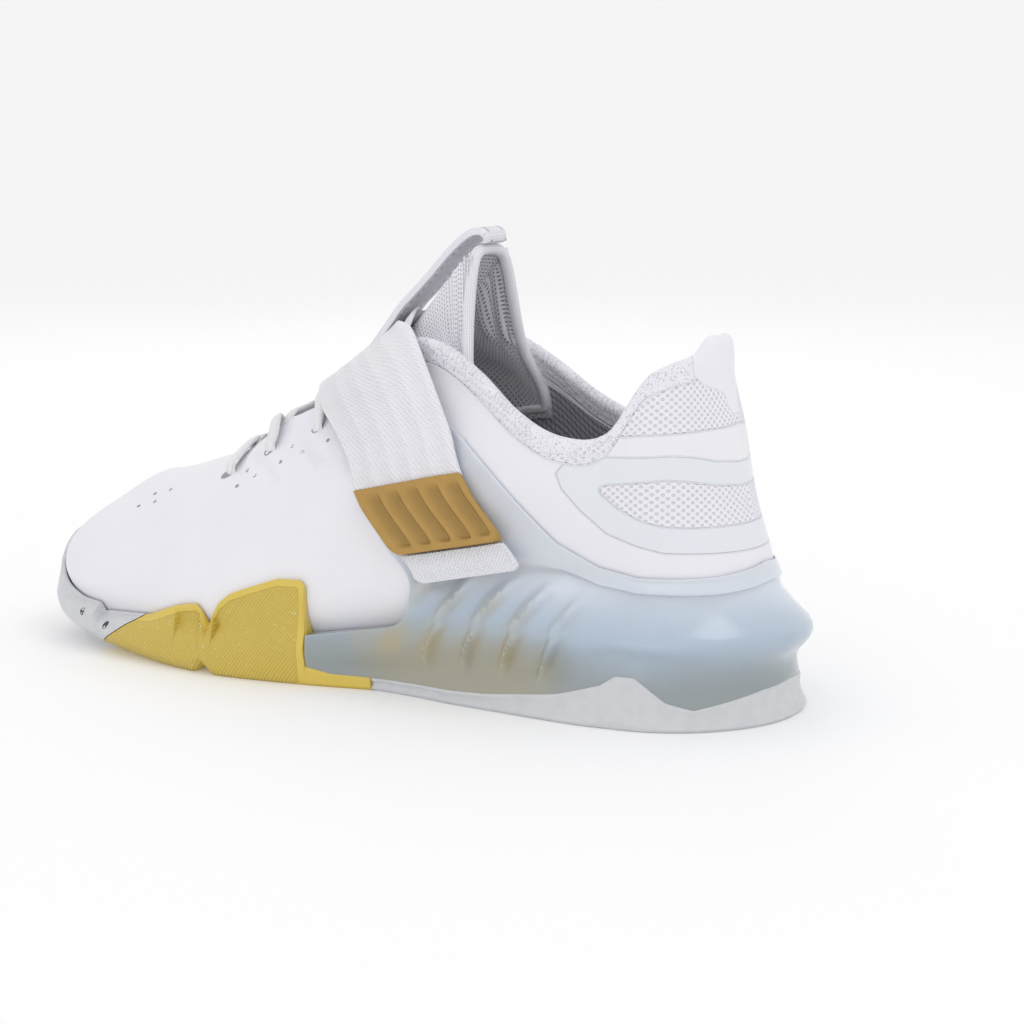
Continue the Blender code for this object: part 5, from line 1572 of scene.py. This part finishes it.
def makeRing():
    x = strapPoint(ringAngle, -1, 0.0)[0] - ringBehind - ringLength / 2
    centre = np.array(overInstep(x, ringAngle, 0))
    ahead = np.array(overInstep(x + ringLength / 2, ringAngle, 0))
    above = np.array(overInstep(x, ringAngle + 4, 0))
    along = (ahead - centre) / np.linalg.norm(ahead - centre)
    up = (above - centre) / np.linalg.norm(above - centre)
    out = np.cross(along, up)
    out /= np.linalg.norm(out)
    if out[1] > 0:
        out = -out
    up = np.cross(out, along)
    up /= np.linalg.norm(up)
    middle = centre + out * (ringWire / 2 + 2 * gap)
    turn = np.linspace(0, 2 * math.pi, 72, endpoint=False)[:, None]
    halfLength, halfWidth = (ringLength - ringWire) / 2, (ringWidth - ringWire) / 2
    line = middle + along * np.cos(turn) * halfLength + up * np.sin(turn) * halfWidth
    # Plated metal: sharp highlights and no grain
    metal, _, shader = newMaterial("polished gold metal")
    shader.inputs["Base Color"].default_value = linear(strapLook["ring"])
    shader.inputs["Metallic"].default_value = 0.9
    shader.inputs["Roughness"].default_value = 0.2
    arm = line - middle
    arm /= np.linalg.norm(arm, axis=1)[:, None]
    wire = np.linspace(0, 2 * math.pi, 20, endpoint=False)
    across, outward = np.cos(wire)[:, None], np.sin(wire)[:, None]
    rings = [p + ringWire / 2 * (across * a + outward * out) for p, a in zip(line, arm)]
    made = gridObject("lace_ring", rings, metal, loopRows=True, loopColumns=True)
    placed(made, "gold_plastic", "strap_ring")


# Laces and their holes
laceLook = {"lace": "#F7F7F9", "line": "#DDDCE3", "width": 6.0 * mm, "thickness": 2.5 * mm}


def makeLaces():
    finish = webbingMaterial("white lace cord", laceLook["lace"], laceLook["line"], 0.7, slant=1.0,
                             depth=0.00004, share=0.2)
    # A crossing comes up from under the edge at one row and goes into the hole of the next row from outside.
    # along, angle of the hole from straight up in degrees, angle of the edge
    rows = [(0.800, 45, 20), (0.715, 35, 21), (0.613, 30, 22), (0.53, 27, 22), (0.447, 25, 22)]
    (along, hole, _), *_ = rows
    runs = [(along, hole, along, -hole, 0.0, True, True)]
    for (a0, _, e0), (a1, h1, _) in zip(rows, rows[1:]):
        runs.append((a0, e0, a1, -h1, 0.0, False, True))
        runs.append((a1, h1, a0, -e0, laceLift, True, False))
    stations = np.linspace(0, 1, 13)
    width, thickness = laceLook["width"], laceLook["thickness"]
    sides = np.array([-0.5, 0.0, 0.5]) * width
    turn = np.linspace(0, 2 * math.pi, 18, endpoint=False)
    for n, (along0, angle0, along1, angle1, lift, holeFirst, holeLast) in enumerate(runs):
        layers = []
        for out in (0.0, mm):
            grid = []
            for share in stations:
                angle = between(angle0, angle1, share)
                x = spine(between(along0, along1, smooth(share)))[0]
                over = 3 * gap + lift * math.sin(math.pi * share) ** 2
                grid.append([overInstep(x + dx, angle, over + out) for dx in sides])
            layers.append(denser(grid, 90))
        low, high = layers
        rings, flat = [], []
        for i, share in enumerate(np.linspace(0, 1, 90)):
            endShare = min(share, 1 - share)
            intoHole = holeFirst if share < 0.5 else holeLast
            reach = 0.07 if intoHole else 0.16
            sink = (3.4 if intoHole else 4.5) * mm * (1 - smooth(endShare / reach)) ** (2 if intoHole else 1)
            pinch = 0.8 + 0.2 * smooth(endShare / 0.12)
            ring = []
            for t in turn:
                across = 1 + 0.93 * pinch * math.copysign(abs(math.cos(t)) ** 0.8, math.cos(t))
                height = thickness / 2 * (1 + math.copysign(abs(math.sin(t)) ** 0.9, math.sin(t))) - sink
                start = curveAt(low[i], across)
                way = (curveAt(high[i], across) - start) / mm
                ring.append(start + way * height)
            rings.append(ring)
            flat.append([(share * 45, width * 500 * math.cos(t)) for t in turn])
        cord = cappedGrid(f"lace_{n}", rings, finish, flat=np.array(flat))
        placed(cord, "laces", "laces")


def surfaceOf(made):
    return BVHTree.FromPolygons([v.co for v in made.data.vertices], [p.vertices for p in made.data.polygons])


def dots(name, surface, spots, finish, slotName, lift=0.05 * mm):
    # Small round marks laid on a surface
    # spots: x, z, half length, half height, lean and whether the inner side has one too
    build = bmesh.new()
    for x, z, half, high, lean, bothSides in spots:
        for side in (lateral, medial) if bothSides else (lateral,):
            hit, normal, _, _ = surface.ray_cast(Vector((x, side * 0.12, z)), Vector((0, -side, 0)))
            if hit is None:
                continue
            ahead = Vector((math.cos(lean), 0, math.sin(lean)))
            ahead = (ahead - normal * ahead.dot(normal)).normalized()
            up = normal.cross(ahead)
            ring = []
            for i in range(20):
                turn = 2 * math.pi * i / 20
                point = hit + ahead * math.cos(turn) * half + up * math.sin(turn) * high
                near, out, _, _ = surface.find_nearest(point)
                ring.append(build.verts.new(near + out * lift))
            middle = build.verts.new(hit + normal * lift)
            for i in range(20):
                build.faces.new((middle, ring[i - 1], ring[i]))
    bmesh.ops.recalc_face_normals(build, faces=build.faces)
    mesh = bpy.data.meshes.new(name)
    build.to_mesh(mesh)
    build.free()
    mesh.materials.append(finish)
    made = bpy.data.objects.new(name, mesh)
    bpy.context.scene.collection.objects.link(made)
    return placed(made, slotName)


# Places in mm, x and height
perforations = [
    (209.9, 49.3), (206.5, 53.4), (202.8, 51.5), (198.6, 55.7), (159.9, 61.9), (157.6, 67.2), (151.6, 66.4),
    (141.3, 71.8), (138, 77.2), (131.8, 76), (120.8, 81),
]
eyeletHoles = [(168.8, 64.5), (150.4, 74.4), (128.8, 84)]
# Slots in the toe bumper: x, height, half length, half height in mm, and lean in radians
bumperSlots = [(216.4, 14.2, 1.1, 1.7, 0.3), (204.7, 10.8, 1.1, 1.7, 0.3)]


def makeMarks(shell, bumperPart):
    dark, _, shader = newMaterial("shade in punched holes")
    shader.inputs["Base Color"].default_value = linear("#9E9CA8")
    shader.inputs["Roughness"].default_value = 0.9
    surface = surfaceOf(shell)
    spots = [(x * mm, z * mm, 0.8 * mm, 0.8 * mm, 0.0, True) for x, z in perforations]
    dots("punched_holes", surface, spots, dark, "upper")
    spots = [(x * mm, z * mm, 2.6 * mm, 2.0 * mm, -0.5, True) for x, z in eyeletHoles]
    dots("eyelet_holes", surface, spots, dark, "upper", lift=0.12 * mm)
    deep, _, shader = newMaterial("shade in bumper slots")
    shader.inputs["Base Color"].default_value = linear("#4B4E50")
    shader.inputs["Roughness"].default_value = 0.9
    spots = [(x * mm, z * mm, half * mm, high * mm, lean, False) for x, z, half, high, lean in bumperSlots]
    dots("bumper_slots", surfaceOf(bumperPart), spots, deep, "grey_rubber")


# Pull tab: corded webbing with two rows of grey stitches
pullTabLook = {"webbing": "#ECEBF1", "stitch": "#8C8A95"}


def makePullTab():
    # The webbing starts in the tongue's face
    places = [(0.548, 0.965), (0.520, 1.028), *pullTab]
    middle = [(spine(along)[0], up * collarHeight) for along, up in places]
    line = denser(middle, 90)
    out = normals(line)
    if out[0][0] < 0:
        out = -out
    y = spine(0.45)[1]
    finish, tree, shader = newMaterial("white tab webbing")
    along, across, _ = flatPlace(tree)
    cord = wave(tree, across, 1.25)
    fromRow = mathOf(tree, "SUBTRACT", mathOf(tree, "ABSOLUTE", across), 4.6)
    inRow = ramp(tree, mathOf(tree, "ABSOLUTE", fromRow), 0.55, 0.3)
    stitch = mathOf(tree, "MULTIPLY", inRow, ramp(tree, wave(tree, along, 3.4), 0.1, 0.3))
    shadedStitch = mathOf(tree, "MULTIPLY", stitch, 0.55)
    colour = mixed(tree, shadedStitch, linear(pullTabLook["webbing"]), linear(pullTabLook["stitch"]))
    tree.links.new(colour, shader.inputs["Base Color"])
    shader.inputs["Roughness"].default_value = 0.65
    bumped(tree, shader, [(cord, 0.00015), (stitch, -0.0003), (wave(tree, along, 0.8), 0.00008)])
    rings, flat = [], []
    count = 22
    run = lengths(line) * 1000
    for (x, z), (nx, nz), share, r in zip(line, out, np.linspace(0, 1, 90), run):
        half = pullTabWidth / 2 * (1 - 0.25 * smooth((share - 0.8) / 0.2))
        ring, flatRow = [], []
        for s in np.linspace(-1, 1, count):
            edge = math.sqrt(max(0.0, 1 - max(0.0, (abs(s) - 0.9) / 0.1) ** 2))
            thick = pullTabThickness * (0.3 + 0.7 * edge)
            ring.append((x + nx * thick, y + s * half, z + nz * thick))
            flatRow.append((r, s * half * 1000))
        for s in np.linspace(1, -1, count):
            ring.append((x, y + s * half, z))
            flatRow.append((r, s * half * 1000))
        rings.append(ring)
        flat.append(flatRow)
    tab = cappedGrid("pull_tab", rings, finish, flat=np.array(flat))
    placed(tab, "webbing", "tongue_pull_tab")


shell = makeUpper()
print("upper made")
makeMidsole()
makeHeelTread()
bumperPart = makeFrontTread()
print("sole made")
makeInsole()
makeTongue()
makePullTab()
print("tongue made")
makeStrap()
makeRing()
print("strap made")
makeLaces()
makeMarks(shell, bumperPart)
print("laces made")

# Stage, lights and camera
stageLook = {"paper": "#F2F2F2", "paperGlow": 0.1, "sky": "#FBFBFC", "skyPower": 0.94}


def makeStage():
    look = stageLook
    # The floor runs on from the shoe and sweeps up into a wall, so that no horizon shows
    turn = np.linspace(0, math.pi / 2, 24)
    ahead = Vector((0.5, -0.86))
    sweep = [(-4.0, 0.0), *((2.5 + 2.0 * math.sin(t), 2.0 * (1 - math.cos(t))) for t in turn), (4.5, 9.0)]
    rows = [
        [(ahead.x * far + ahead.y * side, ahead.y * far - ahead.x * side, up) for far, up in sweep]
        for side in (-9.0, 9.0)
    ]
    # Paper that glows a little, so that it stays white in the shoe's own shade
    paper, _, shader = newMaterial("white paper")
    shader.inputs["Base Color"].default_value = linear(look["paper"])
    shader.inputs["Roughness"].default_value = 0.95
    shader.inputs["Specular IOR Level"].default_value = 0.1
    shader.inputs["Emission Color"].default_value = linear("#FFFFFF")
    shader.inputs["Emission Strength"].default_value = look["paperGlow"]
    backdrop = gridObject("paper_backdrop", rows, paper)
    world = bpy.data.worlds.new("studio")
    bpy.context.scene.world = world
    world.use_nodes = True
    world.node_tree.nodes["Background"].inputs[0].default_value = linear(look["sky"])
    world.node_tree.nodes["Background"].inputs[1].default_value = look["skyPower"]
    # Name, place, size and power of each soft light
    lights = [
        ("key_light", (-0.5, -0.1, 1.4), 0.5, 1.5),
        ("back_light", (0.7, -0.9, 0.8), 0.5, 0.8),
        ("fill_light", (-0.2, 1.5, 0.7), 1.2, 1.6),
    ]
    for name, spot, size, power in lights:
        lamp = bpy.data.lights.new(name, "AREA")
        lamp.size = size
        lamp.energy = power
        made = bpy.data.objects.new(name, lamp)
        made.location = spot
        made.rotation_mode = "QUATERNION"
        made.rotation_quaternion = (Vector((0.1, 0, 0.05)) - Vector(spot)).to_track_quat("-Z", "Y")
        bpy.context.scene.collection.objects.link(made)


# The photo's own view
cameraLook = {
    "lens": 80.22,  # mm
    "sensorWidth": 36,  # mm
    "location": (-0.31992, 0.66083, 0.19369),
    "forward": (0.49425, -0.85134, -0.17587),
}


def makeCamera():
    look = cameraLook
    lens = bpy.data.cameras.new("photo_camera")
    lens.lens = look["lens"]
    lens.sensor_width = look["sensorWidth"]
    camera = bpy.data.objects.new("photo_camera", lens)
    camera.location = look["location"]
    camera.rotation_mode = "QUATERNION"
    camera.rotation_quaternion = Vector(look["forward"]).to_track_quat("-Z", "Y")
    bpy.context.scene.collection.objects.link(camera)
    bpy.context.scene.camera = camera


makeStage()
makeCamera()
bpy.context.scene.view_settings.view_transform = "Standard"
print("stage and camera made")
